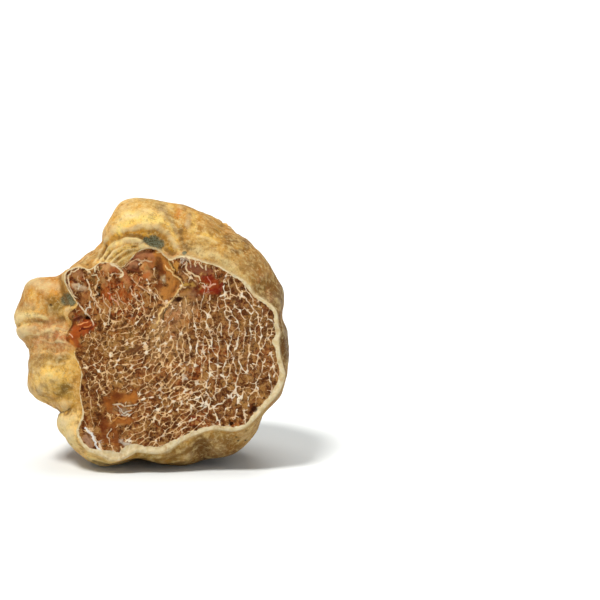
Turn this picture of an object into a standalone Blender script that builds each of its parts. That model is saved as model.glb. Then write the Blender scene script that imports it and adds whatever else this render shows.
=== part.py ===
"""White truffle with one side sliced off: a single solid, in metres, +Z up.

The truffle stands on a small flat spot of its skin, with the knife cut facing -Y.
It is modelled in its own cut frame first (all tables below are in millimetres):
    u  to the right across the cut face
    v  up the cut face
    w  into the truffle, away from the cut face, which is the plane w = 0
The cut frame is then leaned back by LEAN_DEG, and set down on z = 0.
"""

import math

import bmesh
import bpy
import numpy as np

# ---------------------------------------------------------------- driving dimensions
MM = 0.001
GIRTH_DEPTH = 12.0      # w of the widest section behind the cut
BACK_DEPTH = 31.0       # from the widest section to the back of the truffle
FRONT_POWER = 2.3       # how full the skin is between the cut and the widest section
BACK_POWER = 2.15       # how full the back is
LEAN_DEG = 8.0          # the cut face looks up by this much
GIRTH_GROWTH = 1.025    # the outline below is the truffle's widest section, at this scale
SEAT_LEVEL = -27.75     # height of the flat spot in the leaned frame, before it is set on z = 0
CENTRE_X, CENTRE_Y = -0.1829, 20.2224   # middle of the truffle's box in the leaned frame
SPHERE_CUTS = 26        # cells along each side of the starting cube

# The truffle's widest outline, (u, v).
GIRTH = [
    (28.8, -0.5), (28.0, 2.7), (26.9, 5.5), (27.5, 7.9), (27.6, 10.7), (26.6, 13.1),
    (24.2, 16.3), (21.1, 20.1), (17.9, 22.8), (14.7, 25.0), (10.7, 26.9), (7.1, 28.2),
    (3.5, 28.9), (-0.2, 29.8), (-3.8, 29.6), (-6.2, 28.6), (-8.2, 26.0), (-9.4, 23.2),
    (-10.0, 20.6), (-13.2, 18.3), (-15.4, 15.9), (-18.4, 14.1), (-20.6, 12.9),
    (-25.1, 12.7), (-26.7, 11.3), (-27.5, 8.7), (-28.8, 5.1), (-28.5, 3.5), (-26.7, 1.1),
    (-25.9, -2.2), (-25.7, -6.2), (-25.6, -9.4), (-23.9, -11.8), (-21.1, -13.8),
    (-18.7, -15.4), (-18.4, -18.2), (-17.4, -21.4), (-15.4, -23.5), (-13.0, -25.5),
    (-10.6, -26.2), (-7.4, -25.7), (-4.2, -25.1), (-1.4, -25.3), (2.6, -25.9),
    (7.1, -26.1), (10.7, -25.1), (15.1, -23.9), (19.5, -21.4), (21.9, -18.6),
    (23.5, -15.4), (25.6, -13.0), (27.4, -10.2), (28.4, -7.0), (28.4, -3.8),
]

# The edge of the cut face, (u, v).
CUT = [
    (27.1, 0.1), (27.4, 1.8), (27.0, 3.4), (26.8, 5.6), (26.2, 7.0), (25.0, 8.1),
    (23.4, 9.2), (21.8, 10.2), (21.0, 11.6), (19.6, 13.0), (18.2, 13.8), (16.0, 15.0),
    (14.4, 15.9), (12.4, 16.5), (10.4, 17.2), (8.1, 17.9), (5.7, 17.9), (4.5, 17.3),
    (3.5, 17.7), (2.1, 19.0), (0.1, 19.7), (-1.7, 19.4), (-3.3, 18.4), (-4.7, 16.8),
    (-6.1, 15.6), (-7.1, 16.3), (-8.9, 16.7), (-10.7, 16.6), (-11.7, 15.8),
    (-12.9, 15.2), (-14.7, 15.8), (-16.5, 15.4), (-18.0, 14.2), (-18.0, 12.6),
    (-17.3, 11.0), (-16.3, 9.4), (-15.3, 7.8), (-17.3, 5.6), (-16.5, 3.8), (-17.8, 0.6),
    (-15.8, -1.3), (-15.9, -2.3), (-15.6, -3.5), (-15.0, -4.7), (-14.4, -6.7),
    (-14.6, -8.3), (-14.8, -10.4), (-14.6, -12.4), (-14.2, -14.4), (-14.4, -16.0),
    (-15.2, -17.8), (-15.5, -18.8), (-15.0, -20.4), (-14.2, -21.8), (-13.0, -23.0),
    (-11.6, -23.5), (-10.1, -24.2), (-8.5, -25.0), (-6.9, -25.1), (-5.3, -24.6),
    (-3.9, -23.8), (-2.9, -23.2), (-0.9, -23.4), (2.0, -23.5), (4.0, -22.8),
    (6.0, -21.4), (8.0, -20.2), (10.0, -19.4), (12.1, -18.7), (14.1, -18.4),
    (16.1, -18.7), (18.1, -18.7), (20.1, -18.0), (21.3, -17.0), (22.7, -15.6),
    (23.5, -14.6), (24.7, -13.4), (26.1, -12.0), (27.5, -10.0), (28.1, -8.3),
    (28.4, -6.9), (27.9, -4.9), (27.4, -2.9),
]

# A rounder outline that the back turns into, (u, v).
BACK = [
    (26.2, 0.0), (26.6, 9.0), (22.0, 17.0), (14.5, 23.0), (6.0, 26.4), (-4.5, 25.6),
    (-13.0, 21.6), (-20.5, 16.0), (-25.6, 8.4), (-26.4, -1.5), (-23.4, -10.0),
    (-17.4, -19.4), (-9.6, -26.4), (1.0, -28.2), (11.2, -26.0), (19.8, -18.4), (24.8, -9.0),
]

# Swellings (+) and hollows (-) of the skin seen from the cut side: u, v, radius, height.
FRONT_LUMPS = [
    (-3.2, 24.6, 6.5, 1.5), (-22.7, 9.8, 4.6, 1.3), (-22.4, 0.8, 4.5, -0.6),
    (-21.8, -7.6, 5.5, 1.2), (-17.0, -17.5, 3.0, 0.5), (13.8, -22.4, 6.0, 0.9),
    (10.9, -23.2, 2.2, -0.8), (27.4, -1.0, 4.0, 0.4), (14.5, 21.0, 6.5, 0.8),
    (24.6, 11.2, 3.4, -0.6), (-13.6, 17.2, 3.0, 0.5), (-27.2, 6.0, 2.0, 0.6),
    (-26.0, -11.0, 2.8, 0.4), (20.4, 16.5, 3.4, 0.5), (8.6, 22.6, 3.4, -0.35),
]

# Folds of the skin seen from the cut side: points along it, half width, height.
FRONT_FOLDS = [
    ([(3.4, 30.0), (3.9, 25.8), (4.8, 22.0), (5.8, 18.6)], 1.5, -1.3),
    ([(-9.8, 18.8), (-8.0, 21.0), (-4.6, 22.2), (-0.8, 21.8), (2.6, 20.6), (4.8, 18.6)], 1.2, -1.1),
    ([(-10.2, 16.4), (-8.2, 19.0), (-5.2, 20.6), (-2.2, 20.7), (0.6, 20.6)], 0.8, 0.35),
    ([(-29.4, 3.2), (-25.4, 4.4), (-21.6, 4.0), (-18.4, 5.8)], 1.1, -0.8),
    ([(-22.6, -14.6), (-19.0, -14.9), (-15.4, -13.8)], 1.2, -0.9),
    ([(-25.6, -2.4), (-21.6, -2.9), (-17.4, -1.6)], 1.0, -0.35),
    ([(-13.4, 18.9), (-11.4, 18.0), (-10.6, 16.6)], 0.9, -0.6),
]

# Lobes of the back and the sides: angle round the cut axis, angle from it, radius, height.
BACK_LOBES = [
    (20, 114, 11.5, 2.2), (62, 106, 9.5, 1.4), (100, 112, 11.0, 2.4), (137, 108, 9.5, 1.8),
    (172, 114, 11.5, 2.3), (212, 110, 10.5, 1.6), (318, 110, 10.5, 1.9), (350, 122, 8.5, 1.3),
    (40, 140, 12.5, 2.8), (92, 146, 11.0, 2.0), (140, 142, 12.0, 2.9), (190, 146, 11.0, 1.9),
    (236, 138, 10.0, 1.6), (300, 142, 11.0, 2.2), (345, 150, 9.5, 1.8), (75, 172, 10.5, 2.1),
    (230, 168, 9.5, 1.4), (266, 116, 12.5, 1.9),
]


# ---------------------------------------------------------------- shape functions
def closed_curve(points, theta):
    """Radius at each angle of a closed outline, as a smooth cubic through its points."""
    p = np.array(points, float)
    angle, radius = np.arctan2(p[:, 1], p[:, 0]), np.hypot(p[:, 0], p[:, 1])
    order = np.argsort(angle)
    a, r = angle[order], radius[order]
    turn = 2 * math.pi
    a = np.concatenate([a[-2:] - turn, a, a[:2] + turn])
    r = np.concatenate([r[-2:], r, r[:2]])
    slope = (r[2:] - r[:-2]) / (a[2:] - a[:-2])
    a, r = a[1:-1], r[1:-1]
    i = np.clip(np.searchsorted(a, theta, side="right") - 1, 0, len(a) - 2)
    step = a[i + 1] - a[i]
    t = np.clip((theta - a[i]) / step, 0, 1)
    return (
        (2 * t**3 - 3 * t**2 + 1) * r[i]
        + (t**3 - 2 * t**2 + t) * step * slope[i]
        + (-2 * t**3 + 3 * t**2) * r[i + 1]
        + (t**3 - t**2) * step * slope[i + 1]
    )


def smooth_step(low, high, x):
    t = np.clip((x - low) / (high - low), 0, 1)
    return t * t * (3 - 2 * t)


def lattice(i, j, k, seed):
    """A repeatable number in [-1, 1] for each lattice point."""
    h = (i * 73856093) ^ (j * 19349663) ^ (k * 83492791) ^ (seed * 2654435761)
    h = (h & 0xFFFFFFFF).astype(np.uint64)
    h = ((h ^ (h >> np.uint64(15))) * np.uint64(2246822519)) & np.uint64(0xFFFFFFFF)
    h = ((h ^ (h >> np.uint64(13))) * np.uint64(3266489917)) & np.uint64(0xFFFFFFFF)
    h ^= h >> np.uint64(16)
    return h.astype(float) / 2147483647.5 - 1.0


def noise(p, size, seed):
    """Smooth value noise in [-1, 1] with features of the given size."""
    q = p / size + 1000.0
    base = np.floor(q).astype(np.int64)
    f = q - base
    f = f * f * f * (f * (f * 6 - 15) + 10)
    total = 0.0
    for di in (0, 1):
        for dj in (0, 1):
            for dk in (0, 1):
                weight = (
                    (f[:, 0] if di else 1 - f[:, 0])
                    * (f[:, 1] if dj else 1 - f[:, 1])
                    * (f[:, 2] if dk else 1 - f[:, 2])
                )
                total = total + weight * lattice(
                    base[:, 0] + di, base[:, 1] + dj, base[:, 2] + dk, seed
                )
    return total


def distance_to_line(u, v, points):
    """Distance in the (u, v) plane to a line through the points."""
    best = np.full(len(u), 1e9)
    for (au, av), (bu, bv) in zip(points[:-1], points[1:]):
        du, dv = bu - au, bv - av
        t = np.clip(((u - au) * du + (v - av) * dv) / (du * du + dv * dv), 0, 1)
        best = np.minimum(best, np.hypot(u - au - t * du, v - av - t * dv))
    return best


def skin_point(d):
    """Points of the whole truffle's skin, in the cut frame, for unit directions d from
    the point at depth GIRTH_DEPTH behind the middle of the cut."""
    side = np.hypot(d[:, 0], d[:, 1])
    theta = np.arctan2(d[:, 1], d[:, 0])
    girth = closed_curve(GIRTH, theta) * GIRTH_GROWTH
    cut = np.minimum(closed_curve(CUT, theta), girth - 0.25)
    # The front runs from the edge of the cut to the widest section.
    n = FRONT_POWER
    reach = np.minimum(GIRTH_DEPTH / (1 - (cut / girth) ** n) ** (1 / n), 90.0)
    front = ((side / girth) ** n + (np.abs(d[:, 2]) / reach) ** n) ** (-1 / n)
    # The back turns into a rounder outline, and closes.
    m = BACK_POWER
    share = smooth_step(0.02, 0.62, d[:, 2])
    outline = girth * (1 - share) + closed_curve(BACK, theta) * share
    back = ((side / outline) ** m + (np.abs(d[:, 2]) / BACK_DEPTH) ** m) ** (-1 / m)
    r = np.where(d[:, 2] < 0, front, back)
    p = d * r[:, None] + (0, 0, GIRTH_DEPTH)
    u, v, w = p.T
    # Swellings and folds on the side of the cut, which die out at its edge.
    rim = smooth_step(0.0, 2.6, np.hypot(np.hypot(u, v) - cut, w))
    near = rim * smooth_step(GIRTH_DEPTH + 14, GIRTH_DEPTH - 2, w)
    rise = np.zeros(len(u))
    for lu, lv, radius, height in FRONT_LUMPS:
        rise += near * height * np.exp(-((u - lu) ** 2 + (v - lv) ** 2) / radius**2)
    for line, width, height in FRONT_FOLDS:
        rise += near * height * np.exp(-((distance_to_line(u, v, line) / width) ** 2))
    # Lobes of the back and the sides, with soft creases between them.
    far = smooth_step(GIRTH_DEPTH - 5, GIRTH_DEPTH + 7, w)
    lobes = np.full(len(u), -1.3)
    for turn, tilt, radius, height in BACK_LOBES:
        a, b = math.radians(turn), math.radians(tilt)
        c = np.array((math.sin(b) * math.cos(a), math.sin(b) * math.sin(a), -math.cos(b)))
        s = c * 27.0 + (0, 0, GIRTH_DEPTH + 1.0)
        dome = height * (1 - (np.linalg.norm(p - s, axis=1) / radius) ** 2)
        lobes = 0.45 * np.logaddexp(lobes / 0.45, dome / 0.45)
    rise += far * (lobes - 0.8)
    rise += rim * (0.45 * noise(p, 7.5, 3) + 0.22 * noise(p, 3.6, 5))
    return p + d * rise[:, None]


def stand(p):
    """From the cut frame in mm to the standing truffle in metres."""
    e = math.radians(LEAN_DEG)
    u, v, w = p.T
    x = u - CENTRE_X
    y = w * math.cos(e) + v * math.sin(e) - CENTRE_Y
    z = v * math.cos(e) - w * math.sin(e) - SEAT_LEVEL
    return np.stack([x, y, z], axis=1) * MM


# ---------------------------------------------------------------- the build
def clear_scene():
    for obj in list(bpy.data.objects):
        bpy.data.objects.remove(obj, do_unlink=True)


def collection(name):
    made = bpy.data.collections.new(name)
    bpy.context.scene.collection.children.link(made)
    return made


def material(name, colour, roughness):
    mat = bpy.data.materials.new(name)
    mat.use_nodes = True
    shader = mat.node_tree.nodes["Principled BSDF"]
    shader.inputs["Base Color"].default_value = (*colour, 1)
    shader.inputs["Roughness"].default_value = roughness
    shader.inputs["Metallic"].default_value = 0.0
    return mat


def gridded_cube(cells):
    """A cube of 2 units with each side divided into cells x cells squares."""
    bm = bmesh.new()
    bmesh.ops.create_cube(bm, size=2.0)
    bmesh.ops.subdivide_edges(bm, edges=bm.edges[:], cuts=cells - 1, use_grid_fill=True)
    return bm


def whole_truffle(cells):
    """The uncut truffle: a divided cube blown up to a ball, then to the skin."""
    bm = gridded_cube(cells)
    cube = np.array([v.co[:] for v in bm.verts])
    ball = np.tan(cube * (math.pi / 4))
    ball /= np.linalg.norm(ball, axis=1)[:, None]
    placed = stand(skin_point(ball))
    for vert, co in zip(bm.verts, placed):
        vert.co = co
    bmesh.ops.recalc_face_normals(bm, faces=bm.faces[:])
    mesh = bpy.data.meshes.new("white_truffle")
    bm.to_mesh(mesh)
    bm.free()
    return mesh


def cutter(name, size, location, lean, mat, where):
    """A box that takes away what it covers."""
    bm = bmesh.new()
    bmesh.ops.create_cube(bm, size=1.0)
    for v in bm.verts:
        v.co = (v.co.x * size[0] * MM, v.co.y * size[1] * MM, v.co.z * size[2] * MM)
    mesh = bpy.data.meshes.new(name)
    bm.to_mesh(mesh)
    bm.free()
    mesh.materials.append(mat)
    obj = bpy.data.objects.new(name, mesh)
    obj.location = location
    obj.rotation_euler = (lean, 0, 0)
    obj.hide_render = True
    obj.display_type = "WIRE"
    where.objects.link(obj)
    return obj


def cut_with(obj, tool):
    mod = obj.modifiers.new(tool.name, "BOOLEAN")
    mod.operation = "DIFFERENCE"
    mod.solver = "EXACT"
    mod.object = tool
    if hasattr(mod, "material_mode"):
        mod.material_mode = "TRANSFER"


clear_scene()
parts, cutters = collection("white_truffle"), collection("cutters")
skin = material("truffle_skin", (0.62, 0.42, 0.17), 0.62)
flesh = material("truffle_flesh", (0.33, 0.17, 0.075), 0.5)

mesh = whole_truffle(SPHERE_CUTS)
mesh.materials.append(skin)
truffle = bpy.data.objects.new("white_truffle", mesh)
parts.objects.link(truffle)

# The knife takes everything in front of the cut plane, w < 0.
lean = -math.radians(LEAN_DEG)
slab = 80.0
middle = stand(np.array([(0.0, 0.0, -slab / 2)]))[0]
knife = cutter("knife_slice", (160, slab, 160), middle, lean, flesh, cutters)
# The truffle has settled on a flat spot at z = 0.
ground = cutter("resting_plane", (160, 160, 60), (0, 0, -0.030), 0.0, skin, cutters)
cut_with(truffle, knife)
cut_with(truffle, ground)
for face in mesh.polygons:
    face.use_smooth = True
mesh.set_sharp_from_angle(angle=math.radians(40))
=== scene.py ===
"""White truffle with one side sliced off: the looks.

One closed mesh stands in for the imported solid: the suede-like skin, and the cut face
with its net of pale veins. Tables are in millimetres in the truffle's cut frame:
    u  to the right across the cut face
    v  up the cut face
    w  into the truffle, away from the cut plane w = 0
stand() leans that frame back by LEAN_DEG and sets it on z = 0, as in the solid.
"""

import math
import random

import bpy
import numpy as np
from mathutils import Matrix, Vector, kdtree
from mathutils.geometry import delaunay_2d_cdt


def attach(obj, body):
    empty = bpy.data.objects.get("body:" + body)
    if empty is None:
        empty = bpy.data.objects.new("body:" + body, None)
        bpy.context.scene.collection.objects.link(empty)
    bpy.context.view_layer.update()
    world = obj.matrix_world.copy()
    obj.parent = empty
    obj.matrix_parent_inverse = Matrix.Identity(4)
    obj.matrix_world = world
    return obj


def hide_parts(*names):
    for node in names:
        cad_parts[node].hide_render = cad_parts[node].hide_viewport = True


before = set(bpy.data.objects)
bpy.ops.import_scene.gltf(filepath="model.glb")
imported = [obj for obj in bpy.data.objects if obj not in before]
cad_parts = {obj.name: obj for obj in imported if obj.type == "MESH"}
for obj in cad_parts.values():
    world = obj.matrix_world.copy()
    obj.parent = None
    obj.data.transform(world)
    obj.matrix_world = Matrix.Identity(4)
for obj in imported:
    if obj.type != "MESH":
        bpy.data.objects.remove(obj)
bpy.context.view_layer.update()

# ---------------------------------------------------------------- the solid's own sizes
MM = 0.001
GIRTH_DEPTH = 12.0
BACK_DEPTH = 31.0
FRONT_POWER = 2.3
BACK_POWER = 2.15
LEAN_DEG = 8.0
GIRTH_GROWTH = 1.025
SEAT_LEVEL = -27.75
CENTRE_X, CENTRE_Y = -0.1829, 20.2224

GIRTH = [
    (28.8, -0.5), (28.0, 2.7), (26.9, 5.5), (27.5, 7.9), (27.6, 10.7), (26.6, 13.1),
    (24.2, 16.3), (21.1, 20.1), (17.9, 22.8), (14.7, 25.0), (10.7, 26.9), (7.1, 28.2),
    (3.5, 28.9), (-0.2, 29.8), (-3.8, 29.6), (-6.2, 28.6), (-8.2, 26.0), (-9.4, 23.2),
    (-10.0, 20.6), (-13.2, 18.3), (-15.4, 15.9), (-18.4, 14.1), (-20.6, 12.9),
    (-25.1, 12.7), (-26.7, 11.3), (-27.5, 8.7), (-28.8, 5.1), (-28.5, 3.5), (-26.7, 1.1),
    (-25.9, -2.2), (-25.7, -6.2), (-25.6, -9.4), (-23.9, -11.8), (-21.1, -13.8),
    (-18.7, -15.4), (-18.4, -18.2), (-17.4, -21.4), (-15.4, -23.5), (-13.0, -25.5),
    (-10.6, -26.2), (-7.4, -25.7), (-4.2, -25.1), (-1.4, -25.3), (2.6, -25.9),
    (7.1, -26.1), (10.7, -25.1), (15.1, -23.9), (19.5, -21.4), (21.9, -18.6),
    (23.5, -15.4), (25.6, -13.0), (27.4, -10.2), (28.4, -7.0), (28.4, -3.8),
]
CUT = [
    (27.1, 0.1), (27.4, 1.8), (27.0, 3.4), (26.8, 5.6), (26.2, 7.0), (25.0, 8.1),
    (23.4, 9.2), (21.8, 10.2), (21.0, 11.6), (19.6, 13.0), (18.2, 13.8), (16.0, 15.0),
    (14.4, 15.9), (12.4, 16.5), (10.4, 17.2), (8.1, 17.9), (5.7, 17.9), (4.5, 17.3),
    (3.5, 17.7), (2.1, 19.0), (0.1, 19.7), (-1.7, 19.4), (-3.3, 18.4), (-4.7, 16.8),
    (-6.1, 15.6), (-7.1, 16.3), (-8.9, 16.7), (-10.7, 16.6), (-11.7, 15.8),
    (-12.9, 15.2), (-14.7, 15.8), (-16.5, 15.4), (-18.0, 14.2), (-18.0, 12.6),
    (-17.3, 11.0), (-16.3, 9.4), (-15.3, 7.8), (-17.3, 5.6), (-16.5, 3.8), (-17.8, 0.6),
    (-15.8, -1.3), (-15.9, -2.3), (-15.6, -3.5), (-15.0, -4.7), (-14.4, -6.7),
    (-14.6, -8.3), (-14.8, -10.4), (-14.6, -12.4), (-14.2, -14.4), (-14.4, -16.0),
    (-15.2, -17.8), (-15.5, -18.8), (-15.0, -20.4), (-14.2, -21.8), (-13.0, -23.0),
    (-11.6, -23.5), (-10.1, -24.2), (-8.5, -25.0), (-6.9, -25.1), (-5.3, -24.6),
    (-3.9, -23.8), (-2.9, -23.2), (-0.9, -23.4), (2.0, -23.5), (4.0, -22.8),
    (6.0, -21.4), (8.0, -20.2), (10.0, -19.4), (12.1, -18.7), (14.1, -18.4),
    (16.1, -18.7), (18.1, -18.7), (20.1, -18.0), (21.3, -17.0), (22.7, -15.6),
    (23.5, -14.6), (24.7, -13.4), (26.1, -12.0), (27.5, -10.0), (28.1, -8.3),
    (28.4, -6.9), (27.9, -4.9), (27.4, -2.9),
]
BACK = [
    (26.2, 0.0), (26.6, 9.0), (22.0, 17.0), (14.5, 23.0), (6.0, 26.4), (-4.5, 25.6),
    (-13.0, 21.6), (-20.5, 16.0), (-25.6, 8.4), (-26.4, -1.5), (-23.4, -10.0),
    (-17.4, -19.4), (-9.6, -26.4), (1.0, -28.2), (11.2, -26.0), (19.8, -18.4), (24.8, -9.0),
]
FRONT_LUMPS = [
    (-3.2, 24.6, 6.5, 1.5), (-22.7, 9.8, 4.6, 1.3), (-22.4, 0.8, 4.5, -0.6),
    (-21.8, -7.6, 5.5, 1.2), (-17.0, -17.5, 3.0, 0.5), (13.8, -22.4, 6.0, 0.9),
    (10.9, -23.2, 2.2, -0.8), (27.4, -1.0, 4.0, 0.4), (14.5, 21.0, 6.5, 0.8),
    (24.6, 11.2, 3.4, -0.6), (-13.6, 17.2, 3.0, 0.5), (-27.2, 6.0, 2.0, 0.6),
    (-26.0, -11.0, 2.8, 0.4), (20.4, 16.5, 3.4, 0.5), (8.6, 22.6, 3.4, -0.35),
]
FRONT_FOLDS = [
    ([(4.6, 26.6), (5.4, 24.2), (6.4, 21.6), (7.4, 19.2)], 1.7, -0.55),
    ([(-9.8, 18.8), (-8.0, 21.0), (-4.6, 22.2), (-0.8, 21.8), (2.6, 20.6), (4.8, 18.6)], 1.2, -1.1),
    ([(-10.2, 16.4), (-8.2, 19.0), (-5.2, 20.6), (-2.2, 20.7), (0.6, 20.6)], 0.8, 0.35),
    ([(-29.4, 3.2), (-25.4, 4.4), (-21.6, 4.0), (-18.4, 5.8)], 1.1, -0.8),
    ([(-22.6, -14.6), (-19.0, -14.9), (-15.4, -13.8)], 1.2, -0.9),
    ([(-25.6, -2.4), (-21.6, -2.9), (-17.4, -1.6)], 1.0, -0.15),
    ([(-13.4, 18.9), (-11.4, 18.0), (-10.6, 16.6)], 0.9, -0.6),
]
BACK_LOBES = [
    (20, 114, 11.5, 2.2), (62, 106, 9.5, 1.4), (100, 112, 11.0, 2.4), (137, 108, 9.5, 1.8),
    (172, 114, 11.5, 2.3), (212, 110, 10.5, 1.6), (318, 110, 10.5, 1.9), (350, 122, 8.5, 1.3),
    (40, 140, 12.5, 2.8), (92, 146, 11.0, 2.0), (140, 142, 12.0, 2.9), (190, 146, 11.0, 1.9),
    (236, 138, 10.0, 1.6), (300, 142, 11.0, 2.2), (345, 150, 9.5, 1.8), (75, 172, 10.5, 2.1),
    (230, 168, 9.5, 1.4), (266, 116, 12.5, 1.9),
]

# ---------------------------------------------------------------- finer sizes, only seen
SKIN_ROUND = 120        # cells along each quarter turn of the skin
SKIN_DEEP = 104         # cells from the edge of the cut to the patch at the back
VEIN_STEP = 0.21        # spacing of points along a vein
SEED = 11

# Run of the veins over the cut face: u, v, direction in degrees, stretch, mean cell size.
FLOW = [
    (12, 3, 92, 3.7, 1.91), (17, -2, 90, 4.1, 1.86), (9, -2, 96, 3.4, 1.86), (21, 2, 85, 2.6, 1.57),
    (25, -3, 80, 1.4, 1.57), (23, -9, 85, 1.5, 1.86), (20, 8, 125, 2.6, 1.68), (13, 12, 95, 2.9, 2.2),
    (8, 15, 75, 2.4, 2.67), (4, 0, 75, 2.6, 1.74), (3, -5, 55, 2.6, 1.74), (6, -9, 30, 2.9, 1.74),
    (4, -13, 20, 3.8, 1.86), (7, -16, 45, 3.6, 1.86), (0, -17, 50, 2.8, 1.86), (-2, -11, 10, 2.6, 1.97),
    (-4, -4, 20, 2.6, 1.68), (-5, 2, 15, 2.4, 1.62), (-9, -3, 60, 1.3, 1.51), (-12, -8, 100, 1.4, 1.51),
    (-12, -14, 95, 2.4, 1.86), (-8, -17, 70, 1.4, 2.32), (-4, -21, 20, 2.4, 2.09), (3, -20, 30, 2.9, 1.86),
    (-12, -20, 125, 1.5, 2.78), (14, -15, 60, 1.2, 2.2), (20, -12, 80, 1.4, 2.2), (-8, 8, 100, 2.8, 1.74),
    (-3, 9, 100, 2.8, 1.8), (-3, 14, 60, 2.4, 2.09), (2, 12, 110, 2.4, 2.09), (-12, 9, 95, 2.4, 1.74),
    (-15, 12, 90, 1.5, 2.2), (-13, 3, 80, 1.4, 1.62), (0, 5, 60, 2.4, 1.57),
]

# Veins that stand out: points, half width, whiteness. Cells are laid so that they keep them.
MAIN_VEINS = [
    ([(3.2, 18.0), (4.6, 16.6), (5.4, 15.2), (6.3, 13.6), (6.5, 12.0), (5.2, 9.9), (3.8, 8.0),
      (2.3, 5.5), (1.3, 3.4), (-0.2, 1.2)], 0.181, 0.35),
    ([(11.2, -13.2), (8.4, -11.7), (5.9, -11.1), (3.4, -10.4), (1.2, -10.1), (-1.0, -10.4)], 0.0886, 0.6),
    ([(10.8, -13.5), (8.0, -12.7), (5.0, -12.6), (2.5, -13.9), (0.0, -15.2)], 0.0886, 0.5),
    ([(10.4, -15.4), (8.6, -16.9), (7.2, -18.8), (6.4, -20.2)], 0.0828, 0.5),
    ([(11.4, -13.0), (12.1, -10.8), (11.7, -8.6), (12.9, -6.4)], 0.118, 0.9),
    ([(11.6, -13.3), (13.2, -14.2), (14.3, -16.2), (14.7, -18.2)], 0.142, 0.9),
    ([(18.6, -11.9), (16.6, -11.1), (15.0, -12.9), (13.3, -14.2)], 0.142, 1.0),
    ([(18.7, -12.0), (19.3, -14.0), (20.3, -16.0), (21.2, -17.0)], 0.181, 1.0),
    ([(18.6, -11.8), (18.7, -9.9), (18.2, -8.2), (18.9, -5.8)], 0.118, 0.8),
    ([(18.8, -12.0), (20.8, -11.3), (22.8, -10.1)], 0.1, 0.7),
    ([(9.5, 4.4), (9.8, 0.9), (10.1, -2.4), (11.0, -4.3), (11.7, -5.9)], 0.0886, 0.6),
    ([(15.4, 11.0), (15.8, 7.2), (16.4, 4.2), (16.8, 0.9), (16.4, -2.4)], 0.1, 0.8),
    ([(14.4, -0.8), (14.1, -4.2), (14.2, -7.4), (13.8, -10.6)], 0.0943, 0.7),
    ([(12.2, 4.2), (12.6, 1.2), (12.2, -2.4), (11.8, -4.1)], 0.0886, 0.6),
    ([(19.6, 3.4), (19.8, 0.2), (19.1, -3.2), (19.6, -5.4)], 0.0828, 0.6),
    ([(-13.8, -17.4), (-12.2, -19.3), (-11.1, -21.2), (-9.6, -22.9)], 0.281, 1.0),
    ([(-5.8, -2.1), (-3.8, -0.9), (-2.0, -0.6), (-0.4, -1.7), (1.7, -1.3), (3.6, -0.3)], 0.118, 0.7),
    ([(-10.4, -11.5), (-7.1, -10.9), (-3.6, -10.3)], 0.0886, 0.6),
    ([(-13.2, 15.0), (-12.5, 13.6), (-11.1, 12.2), (-11.3, 10.4), (-12.4, 9.2), (-11.6, 7.4)], 0.118, 0.6),
    ([(6.8, 14.4), (8.4, 13.4), (10.4, 12.8), (12.8, 14.0), (14.6, 13.6)], 0.118, 0.6),
    ([(8.3, 13.4), (8.1, 15.2), (7.6, 16.8)], 0.107, 0.8),
    ([(-14.6, -5.8), (-12.2, -4.6), (-10.3, -6.2), (-8.3, -6.3), (-6.9, -9.0)], 0.077, 0.5),
    ([(-12.6, 1.2), (-10.2, -0.4), (-8.2, -2.6), (-6.0, -2.2)], 0.077, 0.5),
]
# Where veins meet in thick white knots: u, v, radius, extra half width.
KNOTS = [
    (11.5, -13.2, 0.75, 0.12), (18.6, -12.0, 0.9, 0.18), (16.5, -11.1, 0.66, 0.12),
    (16.6, 4.0, 0.6, 0.09), (18.8, -4.6, 0.66, 0.11),
    (21.4, -4.0, 0.72, 0.12), (7.4, 16.6, 0.6, 0.1), (-12.0, -19.6, 0.78, 0.12),
    (-4.6, -21.2, 0.78, 0.15), (15.2, 9.4, 0.6, 0.09), (25.4, 4.2, 0.72, 0.12),
     (10.6, 9.4, 0.72, 0.11),
    (25.6, -7.6, 0.72, 0.09), (7.2, -7.6, 0.6, 0.07),
]

random.seed(SEED)
rng = np.random.default_rng(SEED)


# ---------------------------------------------------------------- shape functions
def closed_curve(points, theta):
    """Radius at each angle of a closed outline, as a smooth cubic through its points."""
    p = np.array(points, float)
    angle, radius = np.arctan2(p[:, 1], p[:, 0]), np.hypot(p[:, 0], p[:, 1])
    order = np.argsort(angle)
    a, r = angle[order], radius[order]
    turn = 2 * math.pi
    a = np.concatenate([a[-2:] - turn, a, a[:2] + turn])
    r = np.concatenate([r[-2:], r, r[:2]])
    slope = (r[2:] - r[:-2]) / (a[2:] - a[:-2])
    a, r = a[1:-1], r[1:-1]
    i = np.clip(np.searchsorted(a, theta, side="right") - 1, 0, len(a) - 2)
    step = a[i + 1] - a[i]
    t = np.clip((theta - a[i]) / step, 0, 1)
    return (
        (2 * t**3 - 3 * t**2 + 1) * r[i]
        + (t**3 - 2 * t**2 + t) * step * slope[i]
        + (-2 * t**3 + 3 * t**2) * r[i + 1]
        + (t**3 - t**2) * step * slope[i + 1]
    )


def smooth_step(low, high, x):
    t = np.clip((x - low) / (high - low), 0, 1)
    return t * t * (3 - 2 * t)


def lattice(i, j, k, seed):
    """A repeatable number in [-1, 1] for each lattice point."""
    h = (i * 73856093) ^ (j * 19349663) ^ (k * 83492791) ^ (seed * 2654435761)
    h = (h & 0xFFFFFFFF).astype(np.uint64)
    h = ((h ^ (h >> np.uint64(15))) * np.uint64(2246822519)) & np.uint64(0xFFFFFFFF)
    h = ((h ^ (h >> np.uint64(13))) * np.uint64(3266489917)) & np.uint64(0xFFFFFFFF)
    h ^= h >> np.uint64(16)
    return h.astype(float) / 2147483647.5 - 1.0


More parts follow.
